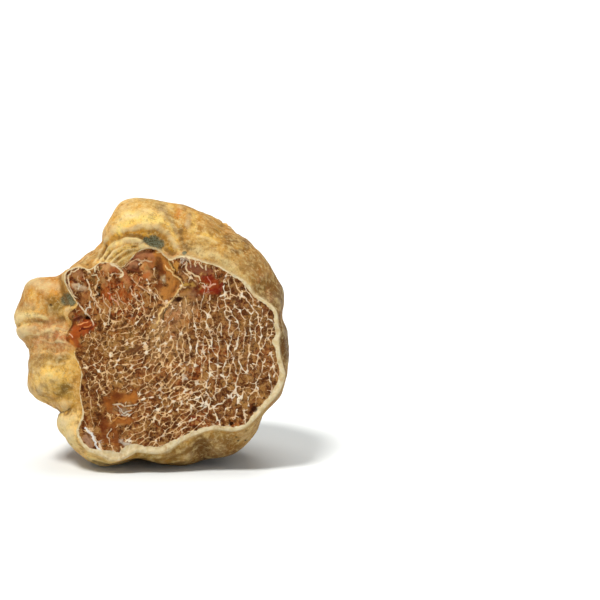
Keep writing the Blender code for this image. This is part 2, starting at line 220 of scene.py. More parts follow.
def noise(p, size, seed):
    """Smooth value noise in [-1, 1] with features of the given size."""
    q = p / size + 1000.0
    base = np.floor(q).astype(np.int64)
    f = q - base
    f = f * f * f * (f * (f * 6 - 15) + 10)
    total = 0.0
    for di in (0, 1):
        for dj in (0, 1):
            for dk in (0, 1):
                weight = (
                    (f[:, 0] if di else 1 - f[:, 0])
                    * (f[:, 1] if dj else 1 - f[:, 1])
                    * (f[:, 2] if dk else 1 - f[:, 2])
                )
                total = total + weight * lattice(
                    base[:, 0] + di, base[:, 1] + dj, base[:, 2] + dk, seed
                )
    return total


def fractal(p, size, seed, octaves=4, gain=0.55):
    total, amount, span = 0.0, 1.0, 0.0
    for o in range(octaves):
        # each octave is turned a little, so that the lattice doesn't show
        c, s = math.cos(0.7 * o + 0.4), math.sin(0.7 * o + 0.4)
        q = np.stack([c * p[:, 0] - s * p[:, 1], s * p[:, 0] + c * p[:, 1], p[:, 2] + 0.31 * p[:, 0]], 1)
        total = total + amount * noise(q, size / 2**o, seed + 17 * o)
        span += amount
        amount *= gain
    return total / span


def flat(u, v):
    return np.stack([u, v, np.zeros_like(u)], 1)


def cells(p, size, seed):
    """Distance to the nearest and second nearest of one random point per lattice cell."""
    q = p / size + 1000.0
    base = np.floor(q).astype(np.int64)
    first, second = np.full(len(p), 9.0), np.full(len(p), 9.0)
    for di in (-1, 0, 1):
        for dj in (-1, 0, 1):
            for dk in (-1, 0, 1):
                c = base + (di, dj, dk)
                spot = np.stack(
                    [c[:, a] + 0.5 + 0.46 * lattice(c[:, 0], c[:, 1], c[:, 2], seed + a) for a in range(3)], 1
                )
                dist = np.linalg.norm(q - spot, axis=1)
                second = np.minimum(second, np.maximum(first, dist))
                first = np.minimum(first, dist)
    return first, second


def distance_to_line(u, v, points):
    """Distance in the (u, v) plane to a line through the points."""
    best = np.full(len(u), 1e9)
    for (au, av), (bu, bv) in zip(points[:-1], points[1:]):
        du, dv = bu - au, bv - av
        t = np.clip(((u - au) * du + (v - av) * dv) / (du * du + dv * dv), 0, 1)
        best = np.minimum(best, np.hypot(u - au - t * du, v - av - t * dv))
    return best


def cut_radius(theta):
    girth = closed_curve(GIRTH, theta) * GIRTH_GROWTH
    return np.minimum(closed_curve(CUT, theta), girth - 0.25)


def skin_point(d):
    """The solid's skin, in the cut frame, for unit directions d from the point at depth
    GIRTH_DEPTH behind the middle of the cut."""
    side = np.hypot(d[:, 0], d[:, 1])
    theta = np.arctan2(d[:, 1], d[:, 0])
    girth = closed_curve(GIRTH, theta) * GIRTH_GROWTH
    cut = cut_radius(theta)
    n = FRONT_POWER
    reach = np.minimum(GIRTH_DEPTH / (1 - (cut / girth) ** n) ** (1 / n), 90.0)
    front = ((side / girth) ** n + (np.abs(d[:, 2]) / reach) ** n) ** (-1 / n)
    m = BACK_POWER
    share = smooth_step(0.02, 0.62, d[:, 2])
    outline = girth * (1 - share) + closed_curve(BACK, theta) * share
    back = ((side / outline) ** m + (np.abs(d[:, 2]) / BACK_DEPTH) ** m) ** (-1 / m)
    r = np.where(d[:, 2] < 0, front, back)
    p = d * r[:, None] + (0, 0, GIRTH_DEPTH)
    u, v, w = p.T
    rim = smooth_step(0.0, 2.6, np.hypot(np.hypot(u, v) - cut, w))
    near = rim * smooth_step(GIRTH_DEPTH + 14, GIRTH_DEPTH - 2, w)
    rise = np.zeros(len(u))
    for lu, lv, radius, height in FRONT_LUMPS:
        rise += near * height * np.exp(-((u - lu) ** 2 + (v - lv) ** 2) / radius**2)
    for line, width, height in FRONT_FOLDS:
        rise += near * height * np.exp(-((distance_to_line(u, v, line) / width) ** 2))
    far = smooth_step(GIRTH_DEPTH - 5, GIRTH_DEPTH + 7, w)
    lobes = np.full(len(u), -1.3)
    for turn, tilt, radius, height in BACK_LOBES:
        a, b = math.radians(turn), math.radians(tilt)
        c = np.array((math.sin(b) * math.cos(a), math.sin(b) * math.sin(a), -math.cos(b)))
        s = c * 27.0 + (0, 0, GIRTH_DEPTH + 1.0)
        dome = height * (1 - (np.linalg.norm(p - s, axis=1) / radius) ** 2)
        lobes = 0.45 * np.logaddexp(lobes / 0.45, dome / 0.45)
    rise += far * (lobes - 0.8)
    rise += rim * (0.45 * noise(p, 7.5, 3) + 0.22 * noise(p, 3.6, 5))
    return p + d * rise[:, None]


def stand(p):
    """From the cut frame in mm to the standing truffle in metres."""
    e = math.radians(LEAN_DEG)
    u, v, w = p.T
    x = u - CENTRE_X
    y = w * math.cos(e) + v * math.sin(e) - CENTRE_Y
    z = v * math.cos(e) - w * math.sin(e) - SEAT_LEVEL
    return np.stack([x, y, z], axis=1) * MM


def direction(theta, phi):
    """Unit direction at an angle phi from the way out of the cut."""
    return np.stack([np.sin(phi) * np.cos(theta), np.sin(phi) * np.sin(theta), -np.cos(phi)], -1)


# ---------------------------------------------------------------- the skin's grid
def skin_grid():
    """Points, quads, charts and chart coordinates of the skin. Ring 0 is the edge of the cut."""
    n, m = SKIN_ROUND, SKIN_DEEP
    round_ = 4 * n
    theta = math.radians(-45) + 2 * math.pi * np.arange(round_) / round_
    theta_c = (theta + math.pi) % (2 * math.pi) - math.pi
    phi_rim = np.arctan2(cut_radius(theta_c), GIRTH_DEPTH)
    local = (theta + math.pi / 4) % (math.pi / 2) - math.pi / 4
    t = np.tan(local)
    phi_back = np.pi - np.arctan(np.sqrt(1 + t * t))
    fine = np.linspace(0, 1, 200)
    phi = phi_rim[:, None] + (phi_back - phi_rim)[:, None] * fine[None, :]
    d = direction(np.repeat(theta_c[:, None], len(fine), 1), phi).reshape(-1, 3)
    p = skin_point(d).reshape(round_, len(fine), 3)
    length = np.concatenate(
        [np.zeros((round_, 1)), np.cumsum(np.linalg.norm(np.diff(p, axis=1), axis=2), axis=1)], 1
    )
    # rings lie closer together by the edge of the cut
    s = np.linspace(0, 1, m + 1)
    s = 0.75 * s + 0.25 * s**2
    rings = np.empty((round_, m + 1))
    for j in range(round_):
        rings[j] = np.interp(s * length[j, -1], length[j], phi[j])
    d_side = direction(np.repeat(theta_c[:, None], m + 1, 1), rings)  # (round, ring, 3)
    side = skin_point(d_side.reshape(-1, 3)).reshape(round_, m + 1, 3)
    side[:, 0, 2] = 0.0
    points = [side.transpose(1, 0, 2).reshape(-1, 3)]  # index = ring * round + j
    # the patch at the back
    a = np.radians(-45 + 90 * np.arange(n + 1) / n)
    ia, ib = np.meshgrid(np.arange(1, n), np.arange(1, n), indexing="ij")
    db = np.stack([np.tan(a[ia]), np.tan(a[ib]), np.ones(ia.shape)], -1).reshape(-1, 3)
    db /= np.linalg.norm(db, axis=1)[:, None]
    points.append(skin_point(db))
    start = round_ * (m + 1)
    index = np.full((n + 1, n + 1), -1)
    index[1:n, 1:n] = start + np.arange((n - 1) ** 2).reshape(n - 1, n - 1)
    last = round_ * m
    k = np.arange(n + 1)
    index[n, k] = last + k % round_
    index[n - k, n] = last + (n + k) % round_
    index[0, n - k] = last + (2 * n + k) % round_
    index[k, 0] = last + (3 * n + k) % round_
    quads, chart, uv = [], [], []
    jj, rr = np.meshgrid(np.arange(round_), np.arange(m), indexing="ij")
    jj, rr = jj.ravel(), rr.ravel()
    nj = (jj + 1) % round_
    quads.append(np.stack([rr * round_ + jj, rr * round_ + nj, (rr + 1) * round_ + nj, (rr + 1) * round_ + jj], 1))
    which = jj // n
    x, y = (jj % n) / n, rr / m
    uv.append(np.stack([np.stack([x, y], 1), np.stack([x + 1 / n, y], 1),
                        np.stack([x + 1 / n, y + 1 / m], 1), np.stack([x, y + 1 / m], 1)], 1))
    chart.append(which)
    i, j = np.meshgrid(np.arange(n), np.arange(n), indexing="ij")
    i, j = i.ravel(), j.ravel()
    quads.append(np.stack([index[i, j], index[i + 1, j], index[i + 1, j + 1], index[i, j + 1]], 1))
    uv.append(np.stack([np.stack([i, j], 1), np.stack([i + 1, j], 1),
                        np.stack([i + 1, j + 1], 1), np.stack([i, j + 1], 1)], 1) / n)
    chart.append(np.full(len(i), 4))
    return np.concatenate(points), np.concatenate(quads), np.concatenate(chart), np.concatenate(uv)


# ---------------------------------------------------------------- the vein net
def flow_at(u, v):
    """Direction, stretch and cell size at points of the cut face."""
    f = np.array(FLOW, float)
    d2 = (u[:, None] - f[:, 0]) ** 2 + (v[:, None] - f[:, 1]) ** 2
    weight = np.exp(-d2 / (2 * 2.6**2)) + 1e-9 / (1 + d2)
    weight /= weight.sum(1, keepdims=True)
    a = np.radians(2 * f[:, 2])
    c, s = weight @ np.cos(a), weight @ np.sin(a)
    # where the runs disagree, the cells are less stretched
    stretch = 1 + (weight @ f[:, 3] - 1) * np.clip(np.hypot(c, s) * 1.15, 0, 1)
    size = weight @ f[:, 4] * (1 + 0.24 * smooth_step(5.0, 13.0, u) + 0.2 * smooth_step(-9.0, -13.0, u))
    return 0.5 * np.arctan2(s, c), stretch, size


def metric_at(u, v):
    """A 2 x 2 metric in which every cell of the net is round and one unit across."""
    angle, stretch, size = flow_at(u, v)
    along = 1 / (size * np.sqrt(stretch)) ** 2
    across = 1 / (size / np.sqrt(stretch)) ** 2
    c, s = np.cos(angle), np.sin(angle)
    return np.stack([along * c * c + across * s * s, (along - across) * c * s,
                     along * s * s + across * c * c], 1)


def sample_line(points, step):
    p = np.array(points, float)
    length = np.concatenate([[0], np.cumsum(np.hypot(*np.diff(p, axis=0).T))])
    count = max(int(round(length[-1] / step)), 1)
    s = np.linspace(0, length[-1], count + 1)
    # a soft curve through the points
    fine = np.linspace(0, length[-1], 40 * len(p))
    q = np.stack([np.interp(fine, length, p[:, a]) for a in (0, 1)], 1)
    for _ in range(30):
        q[1:-1] = 0.25 * q[:-2] + 0.5 * q[1:-1] + 0.25 * q[2:]
    return np.stack([np.interp(s, fine, q[:, a]) for a in (0, 1)], 1)


def rim_loop():
    theta = math.radians(-45) + 2 * math.pi * np.arange(4 * SKIN_ROUND) / (4 * SKIN_ROUND)
    theta = (theta + math.pi) % (2 * math.pi) - math.pi
    r = cut_radius(theta)
    return np.stack([r * np.cos(theta), r * np.sin(theta)], 1)


RIM = rim_loop()
RIM_TREE = kdtree.KDTree(len(RIM))
for n_, q_ in enumerate(RIM):
    RIM_TREE.insert((q_[0], q_[1], 0), n_)
RIM_TREE.balance()


def rim_distance(u, v):
    """Distance in from the edge of the cut face: negative outside it."""
    out = np.empty(len(u))
    theta = np.arctan2(v, u)
    inside = np.hypot(u, v) < cut_radius(theta)
    for i, (a, b) in enumerate(zip(u, v)):
        co, k, dist = RIM_TREE.find((a, b, 0))
        p, q, r = RIM[k - 1], RIM[k], RIM[(k + 1) % len(RIM)]
        best = 1e9
        for s, e in ((p, q), (q, r)):
            d = e - s
            t = min(max(((a - s[0]) * d[0] + (b - s[1]) * d[1]) / (d[0] * d[0] + d[1] * d[1]), 0), 1)
            best = min(best, math.hypot(a - s[0] - t * d[0], b - s[1] - t * d[1]))
        out[i] = best if inside[i] else -best
    return out


def vein_seeds():
    """One point per cell: pairs either side of each main vein, and the rest spread evenly."""
    fixed = []
    for line, width, white in MAIN_VEINS:
        p = sample_line(line, 0.1)
        tangent = np.gradient(p, axis=0)
        tangent /= np.hypot(*tangent.T)[:, None]
        at = 0.35
        total = 0.1 * (len(p) - 1)
        while at < total - 0.1:
            k = min(int(at / 0.1), len(p) - 1)
            normal = np.array((-tangent[k, 1], tangent[k, 0]))
            _, stretch, size = flow_at(p[k : k + 1, 0], p[k : k + 1, 1])
            off = 0.36 * size[0]
            fixed += [p[k] + normal * off, p[k] - normal * off]
            at += size[0] * random.uniform(0.85, 1.2)
    keep = []
    for q in fixed:  # pairs that would crowd an earlier pair are left out
        if all(np.hypot(*(q - k)) > 0.62 for k in keep):
            keep.append(q)
    fixed = np.array(keep)
    found = list(fixed)
    tries = rng.uniform((-19, -26), (29, 21), (9000, 2))
    tries = tries[np.hypot(*tries.T) < cut_radius(np.arctan2(tries[:, 1], tries[:, 0])) - 0.5]
    g = metric_at(tries[:, 0], tries[:, 1])
    for q, m in zip(tries, g):
        p = np.array(found)
        du, dv = p[:, 0] - q[0], p[:, 1] - q[1]
        if (m[0] * du * du + 2 * m[1] * du * dv + m[2] * dv * dv).min() > 0.78**2:
            found.append(q)
    return np.array(found), len(fixed)


def label_cells():
    """The cut face as a fine grid in which each square knows its cell (-1 in the rim)."""
    pitch, u0, v0 = 0.125, -19.5, -26.5
    wide, tall = int(49 / pitch), int(47.5 / pitch)
    u = u0 + pitch * (np.arange(wide) + 0.5)
    v = v0 + pitch * (np.arange(tall) + 0.5)
    gu, gv = np.meshgrid(u, v)
    p = flat(gu.ravel(), gv.ravel())
    # cells are bent by two noises, so that no vein is straight
    wu = p[:, 0] + 0.45 * noise(p, 1.9, 21) + 0.24 * noise(p, 0.85, 22) + 0.1 * noise(p, 0.45, 25)
    wv = p[:, 1] + 0.45 * noise(p, 1.9, 23) + 0.24 * noise(p, 0.85, 24) + 0.1 * noise(p, 0.45, 26)
    wu, wv = wu.reshape(tall, wide), wv.reshape(tall, wide)
    seeds, fixed = vein_seeds()
    theta = np.arctan2(gv, gu)
    in_depth = cut_radius(theta.ravel()).reshape(theta.shape) - np.hypot(gu, gv)
    for turn in range(4):
        best = np.full((tall, wide), 1e9)
        label = np.full((tall, wide), -1, int)
        m = metric_at(seeds[:, 0], seeds[:, 1])
        for k, (q, g) in enumerate(zip(seeds, m)):
            i = int((q[0] - u0) / pitch)
            j = int((q[1] - v0) / pitch)
            r = 34
            a, b = slice(max(j - r, 0), j + r), slice(max(i - r, 0), i + r)
            du, dv = wu[a, b] - q[0], wv[a, b] - q[1]
            dist = g[0] * du * du + 2 * g[1] * du * dv + g[2] * dv * dv
            win = dist < best[a, b]
            best[a, b] = np.where(win, dist, best[a, b])
            label[a, b] = np.where(win, k, label[a, b])
        label[in_depth < 0.35] = -1
        if turn == 3:
            break
        ok = label.ravel() >= 0
        lab = label.ravel()[ok]
        count = np.bincount(lab, minlength=len(seeds)) + 1e-9
        cu = np.bincount(lab, wu.ravel()[ok], minlength=len(seeds)) / count
        cv = np.bincount(lab, wv.ravel()[ok], minlength=len(seeds)) / count
        moved = np.where((count > 1)[:, None], np.stack([cu, cv], 1), seeds)
        seeds[fixed:] += 0.7 * (moved[fixed:] - seeds[fixed:])
    return label, u0, v0, pitch, len(seeds)


def trace_net(label, u0, v0, pitch):
    """The borders between cells as smooth chains of points from one meeting of veins to the next."""
    tall, wide = label.shape
    links = {}

    def join(a, b):
        links.setdefault(a, []).append(b)
        links.setdefault(b, []).append(a)

    j, i = np.nonzero((label[:, :-1] != label[:, 1:]) & (label[:, :-1] >= 0) & (label[:, 1:] >= 0))
    for a, b in zip(j.tolist(), i.tolist()):
        join((a, b + 1), (a + 1, b + 1))
    j, i = np.nonzero((label[:-1] != label[1:]) & (label[:-1] >= 0) & (label[1:] >= 0))
    for a, b in zip(j.tolist(), i.tolist()):
        join((a + 1, b), (a + 1, b + 1))
    nodes = sorted(links)
    number = {q: k for k, q in enumerate(nodes)}
    p = np.array([(u0 + pitch * b, v0 + pitch * a) for a, b in nodes])
    degree = np.array([len(links[q]) for q in nodes])
    first = np.array([number[a] for q in nodes for a in links[q]])
    owner = np.repeat(np.arange(len(nodes)), degree)
    for _ in range(9):  # takes out the staircase
        mean = np.stack([np.bincount(owner, p[first, a], minlength=len(p)) for a in (0, 1)], 1) / degree[:, None]
        weight = np.where(degree > 1, 0.55, 0.0)[:, None]
        p = p + weight * (mean - p)
    chains, done = [], set()
    ends = [q for q in nodes if len(links[q]) != 2]
    for q in ends:
        for r in links[q]:
            if (q, r) in done:
                continue
            chain, last, here = [q, r], q, r
            done.add((q, r))
            while len(links[here]) == 2:
                nxt = links[here][0] if links[here][0] != last else links[here][1]
                last, here = here, nxt
                chain.append(here)
            done.add((here, last))
            chains.append([number[c] for c in chain])
    return p, chains, degree


def vein_lines():
    """Veins as lists of (u, v, half width, whiteness) points."""
    label, u0, v0, pitch, count = label_cells()
    p, chains, degree = trace_net(label, u0, v0, pitch)
    main = [(sample_line(line, 0.3), width, white) for line, width, white in MAIN_VEINS]
    tree = kdtree.KDTree(sum(len(m[0]) for m in main))
    owner = []
    for k, (line, width, white) in enumerate(main):
        for q in line:
            tree.insert((q[0], q[1], 0), len(owner))
            owner.append(k)
    tree.balance()
    veins = []
    for chain in chains:
        line = p[chain]
        length = np.concatenate([[0], np.cumsum(np.hypot(*np.diff(line, axis=0).T))])
        if length[-1] < 0.12:
            continue
        count_ = max(int(round(length[-1] / VEIN_STEP)), 1)
        s = np.linspace(0, length[-1], count_ + 1)
        q = np.stack([np.interp(s, length, line[:, a]) for a in (0, 1)], 1)
        mid = q[len(q) // 2]
        near = [tree.find((a, b, 0)) for a, b in q]
        close = np.mean([n[2] < 0.42 for n in near])
        white = random.uniform(0.0, 0.3) + 0.34 * float(smooth_step(2.0, 14.0, mid[0]))
        angle, _, _ = flow_at(mid[None, 0], mid[None, 1])
        run = line[-1] - line[0]
        run = run / max(np.hypot(*run), 1e-6)
        along = abs(run[0] * math.cos(angle[0]) + run[1] * math.sin(angle[0]))
        # veins that follow the run are long and whole, and those across it often stop short
        cross = 1 - float(smooth_step(0.45, 0.85, along))
        width = (0.07 - 0.018 * cross) + 0.05 * random.random() ** 2
        width *= 0.8 + 0.25 * float(smooth_step(-9.0, 8.0, mid[0]))
        fate = random.random()
        lost, spur_end, gap = 0.03 + 0.36 * cross, 0.08 + 0.42 * cross, 0.08
        if close > 0.6:
            k = owner[near[len(q) // 2][1]]
            width, white = main[k][1], 0.2 + 0.5 * main[k][2]
        elif fate < lost and length[-1] > 0.5:
            continue
        elif fate < lost + spur_end and len(q) > 3:  # stops inside, as a spur
            stop = max(int(len(q) * random.uniform(0.35, 0.75)), 2)
            q = q[:stop] if random.random() < 0.5 else q[-stop:]
            width *= 0.9
        elif fate < lost + spur_end + gap and len(q) > 5:  # broken in the middle
            a = int(len(q) * random.uniform(0.3, 0.42))
            b = int(len(q) * random.uniform(0.6, 0.72))
            veins.append(np.column_stack([q[: a + 1], np.full(a + 1, width), np.full(a + 1, white)]))
            q = q[b:]
        veins.append(np.column_stack([q, np.full(len(q), width), np.full(len(q), white)]))
        # short side branches
        for _ in range(2):
            if len(q) > 4 and random.random() < 0.62:
                k = random.randrange(1, len(q) - 1)
                t = q[k + 1] - q[k - 1]
                t /= max(np.hypot(*t), 1e-6)
                side = random.choice((-1, 1))
                heading = np.array((-t[1], t[0])) * side + t * random.uniform(-0.5, 0.5)
                heading /= np.hypot(*heading)
                reach, at, spur = random.uniform(0.35, 1.0), q[k].copy(), [q[k].copy()]
                bend = random.uniform(-0.9, 0.9)
                while reach > 0:
                    c, s_ = math.cos(bend * 0.2), math.sin(bend * 0.2)
                    heading = np.array((c * heading[0] - s_ * heading[1], s_ * heading[0] + c * heading[1]))
                    at = at + heading * 0.2
                    spur.append(at.copy())
                    reach -= 0.2
                w = width * np.linspace(0.95, 0.55, len(spur))
                veins.append(np.column_stack([np.array(spur), w, np.full(len(spur), white * 0.8)]))
    ends = [p[chain[k]] for chain in chains for k in (0, -1)]
    knots = [(q[0], q[1], random.uniform(0.25, 0.45), random.uniform(0.03, 0.11)) for q in ends if random.random() < 0.2]
    return veins, label, (u0, v0, pitch), knots


def cut_face():
    """The cut face's points and triangles, laid along the veins, with what the finish needs."""
    veins, label, (u0, v0, pitch), knots = vein_lines()
    spots, edges = [tuple(q) for q in RIM], []
    tag = [0] * len(RIM)  # 0 rim, 1 vein, 2 beside a vein, 3 open flesh
    edges = [(k, (k + 1) % len(RIM)) for k in range(len(RIM))]
    grid = {}

    def key(a, b):
        return int(math.floor(a / 0.12)), int(math.floor(b / 0.12))

    def crowded(a, b, gap):
        i, j = key(a, b)
        for di in (-2, -1, 0, 1, 2):
            for dj in (-2, -1, 0, 1, 2):
                for k in grid.get((i + di, j + dj), ()):
                    if math.hypot(spots[k][0] - a, spots[k][1] - b) < gap:
                        return k
        return -1

    def add(a, b, kind):
        k = len(spots)
        spots.append((a, b))
        tag.append(kind)
        grid.setdefault(key(a, b), []).append(k)
        return k

    for k, (a, b) in enumerate(spots):
        grid.setdefault(key(a, b), []).append(k)
    drawn = [drawn_line(mark[0], 0.18) for mark in DRAWN]
    drawn = [np.column_stack([line, np.zeros(len(line)), np.zeros(len(line))]) for line in drawn]
    laid = drawn + veins
    depth = [rim_distance(line[:, 0], line[:, 1]) for line in laid]
    for line, rim in zip(laid, depth):
        before = -1
        for (a, b, w, white), r in zip(line, rim):
            if r < 0.12:
                before = -1
                continue
            k = crowded(a, b, 0.09)
            if k < 0:
                k = add(a, b, 1)
            if before >= 0 and before != k and not (before < len(RIM) and k < len(RIM)):
                edges.append((before, k))
            before = k
    # rows of points beside the veins, then open flesh
    for line, rim in zip(laid, depth):
        if len(line) < 2:
            continue
        t = np.gradient(line[:, :2], axis=0)
        t /= np.maximum(np.hypot(*t.T), 1e-9)[:, None]
        for side in (-1, 1):
            for (a, b, w, white), (tu, tv) in zip(line, t):
                x, y = a - side * tv * 0.21, b + side * tu * 0.21
                if crowded(x, y, 0.155) < 0:
                    add(x, y, 2)
    hexes = []
    step = 0.27
    row, b = 0, -26.0
    while b < 21:
        a = -19.0 + (step / 2 if row % 2 else 0)
        while a < 29:
            hexes.append((a + random.uniform(-0.05, 0.05), b + random.uniform(-0.05, 0.05)))
            a += step
        b += step * 0.866
        row += 1
    hexes = np.array(hexes)
    ok = np.hypot(*hexes.T) < cut_radius(np.arctan2(hexes[:, 1], hexes[:, 0])) - 0.1
    for a, b in hexes[ok]:
        if crowded(a, b, 0.2) < 0:
            add(a, b, 3)
    spots_in = [Vector(q) for q in spots]
    rim_in = rim_distance(np.array([q[0] for q in spots]), np.array([q[1] for q in spots]))
    use = [k for k in range(len(spots)) if k < len(RIM) or rim_in[k] > 0.1]
    new = {k: i for i, k in enumerate(use)}
    edges = [(new[a], new[b]) for a, b in edges if a in new and b in new]
    loop = list(range(len(RIM)))
    out = delaunay_2d_cdt([spots_in[k] for k in use], edges, [loop], 1, 1e-5, True)
    verts, tris = out[0], out[2]
    origin = out[3]
    q = np.array([(p.x, p.y) for p in verts])
    rim_of = np.full(len(q), -1)
    for k, o in enumerate(origin):
        for a in o:
            if a < len(RIM):
                rim_of[k] = a
    tris = np.array([t for t in tris if len(t) == 3])
    # triangles that bridge a bay of the outline are outside it
    middle = q[tris].mean(1)
    bridge = (rim_of[tris] >= 0).all(1)
    bridge &= inside_outline(middle[:, 0], middle[:, 1], [tuple(c) for c in RIM]) < 0
    tris = tris[~bridge]
    print("cut face:", len(q), "points", len(tris), "triangles", "rim found", (rim_of >= 0).sum(), "of", len(RIM))
    # how far each point is from a vein, and that vein's width
    dense, width, white = [], [], []
    for line in veins:
        for s, e in zip(line[:-1], line[1:]):
            for f in (0.0, 0.2, 0.4, 0.6, 0.8):
                dense.append(s * (1 - f) + e * f)
        dense.append(line[-1])
    dense = np.array(dense)
    tree = kdtree.KDTree(len(dense))
    for k, d in enumerate(dense):
        tree.insert((d[0], d[1], 0), k)
    tree.balance()
    found = [tree.find((a, b, 0)) for a, b in q]
    vein_d = np.array([f[2] for f in found])
    vein_w = np.array([dense[f[1]][2] for f in found])
    vein_white = np.array([dense[f[1]][3] for f in found])
    i = np.clip(((q[:, 0] - u0) / pitch).astype(int), 0, label.shape[1] - 1)
    j = np.clip(((q[:, 1] - v0) / pitch).astype(int), 0, label.shape[0] - 1)
    cell = label[j, i]
    for a, b, radius, extra in KNOTS + knots:
        near = np.nonzero((np.abs(q[:, 0] - a) < 3 * radius) & (np.abs(q[:, 1] - b) < 3 * radius))[0]
        weight = np.exp(-((q[near, 0] - a) ** 2 + (q[near, 1] - b) ** 2) / radius**2)
        vein_w[near] += extra * weight
        vein_white[near] += 7.0 * extra * weight
    return q, tris, rim_of, vein_d, vein_w, vein_white, cell


# ---------------------------------------------------------------- tables of the finish
def rgb(r, g, b):
    """A display colour from 0 to 255 as linear light."""
    c = np.array((r, g, b)) / 255.0
    return np.where(c <= 0.04045, c / 12.92, ((c + 0.055) / 1.055) ** 2.4)


# Small folds of the skin on the side of the cut: points, half width, height.
SMALL_FOLDS = [
    ([(-10.5, 16.8), (-8.9, 19.2), (-7.1, 20.7), (-5.2, 21.4), (-3.1, 21.4), (-1.8, 21.0)], 0.45, 0.5),
    ([(-9.3, 16.9), (-7.6, 18.9), (-5.6, 20.1), (-3.6, 20.5), (-1.6, 20.2)], 0.35, 0.3),
    ([(-8.4, 16.4), (-6.6, 18.2), (-4.6, 19.3), (-2.4, 19.6), (-0.6, 19.9)], 0.35, 0.35),
    ([(-10.0, 16.9), (-8.2, 19.1), (-6.2, 20.5), (-3.4, 20.95), (-1.7, 20.6)], 0.25, -0.3),
    ([(-8.8, 16.6), (-7.1, 18.5), (-5.1, 19.7), (-2.8, 20.05)], 0.22, -0.32),
    ([(-10.3, 16.2), (-9.3, 18.3), (-8.0, 20.0), (-6.4, 21.0), (-4.4, 21.3)], 0.2, -0.3),
    ([(-7.9, 16.4), (-6.2, 17.8), (-4.4, 18.8), (-2.6, 19.2)], 0.2, -0.28),
    ([(-7.3, 16.3), (-5.9, 17.3), (-4.4, 18.1), (-3.0, 18.7)], 0.28, 0.26),
    ([(-11.6, 16.6), (-10.9, 18.6), (-9.8, 20.4), (-8.8, 21.8)], 0.35, 0.25),
    ([(-11.0, 16.3), (-10.2, 18.4), (-9.2, 20.2)], 0.22, -0.28),
    ([(-5.0, 20.4), (-3.2, 20.0), (-1.6, 19.4), (-0.2, 19.3)], 0.22, -0.2),
    ([(-10.9, 18.2), (-9.4, 20.3), (-7.4, 21.9), (-4.8, 22.4), (-2.4, 21.9), (-0.5, 21.1),
      (1.1, 20.1), (3.2, 19.3), (5.8, 18.4), (7.6, 18.2)], 0.6, -0.2),
    ([(-5.2, 23.2), (-1.8, 24.2), (1.3, 24.1), (3.7, 22.6), (5.2, 20.4)], 1.0, 0.45),
    ([(5.7, 25.6), (6.6, 22.8), (6.6, 21.0), (8.6, 19.2)], 0.8, -0.07),
    ([(7.9, 26.8), (7.6, 24.7), (8.4, 22.8)], 0.9, 0.12),
    ([(9.6, 26.6), (9.2, 24.6), (9.4, 22.6)], 0.8, -0.1),
    ([(10.0, 22.3), (12.3, 21.8), (14.0, 20.9)], 0.5, 0.2),
    ([(12.6, 18.2), (15.2, 17.4), (18.0, 15.7)], 0.6, 0.2),
    ([(-28.0, 4.6), (-26.5, 5.1), (-24.7, 5.4), (-22.6, 5.1)], 0.6, 0.28),
    ([(-28.2, 3.4), (-25.5, 3.9), (-22.9, 4.0), (-20.4, 3.8), (-18.2, 4.6)], 0.8, -0.06),
    ([(-26.5, 2.4), (-24.4, 1.5), (-22.0, 2.1), (-20.2, 3.0), (-18.4, 2.6), (-16.9, 2.0)], 0.28, 0.22),
    ([(-23.9, 2.4), (-23.4, 0.4), (-23.9, -1.6)], 0.22, 0.18),
    ([(-22.9, 0.3), (-20.8, -0.3), (-19.0, 0.3), (-17.2, -0.3)], 0.25, 0.2),
    ([(-25.6, -2.7), (-22.0, -2.0), (-20.2, -3.1), (-17.8, -2.2), (-16.4, -2.9)], 0.3, 0.16),
    ([(-25.2, -3.9), (-22.0, -3.3), (-19.8, -4.4), (-17.4, -3.6)], 0.5, -0.14),
    ([(-21.4, -4.4), (-19.2, -4.9), (-17.0, -4.2)], 0.3, 0.15),
    ([(-22.2, -11.6), (-20.6, -12.2), (-19.4, -11.8)], 0.5, -0.2),
    ([(-20.4, -14.0), (-18.9, -15.2), (-17.2, -15.6), (-15.6, -14.6)], 0.6, -0.22),
    ([(-17.6, -15.6), (-17.0, -18.6), (-15.8, -21.6)], 0.8, 0.25),
    ([(-19.4, 13.6), (-18.6, 11.8), (-18.2, 9.8), (-17.4, 7.8)], 0.5, -0.35),
    ([(1.0, -25.0), (5.0, -24.6), (9.0, -22.4), (11.0, -21.2)], 0.5, -0.3),
    ([(-12.4, -25.6), (-8.6, -26.4), (-4.8, -25.4), (-1.0, -24.9)], 0.4, -0.3),
]
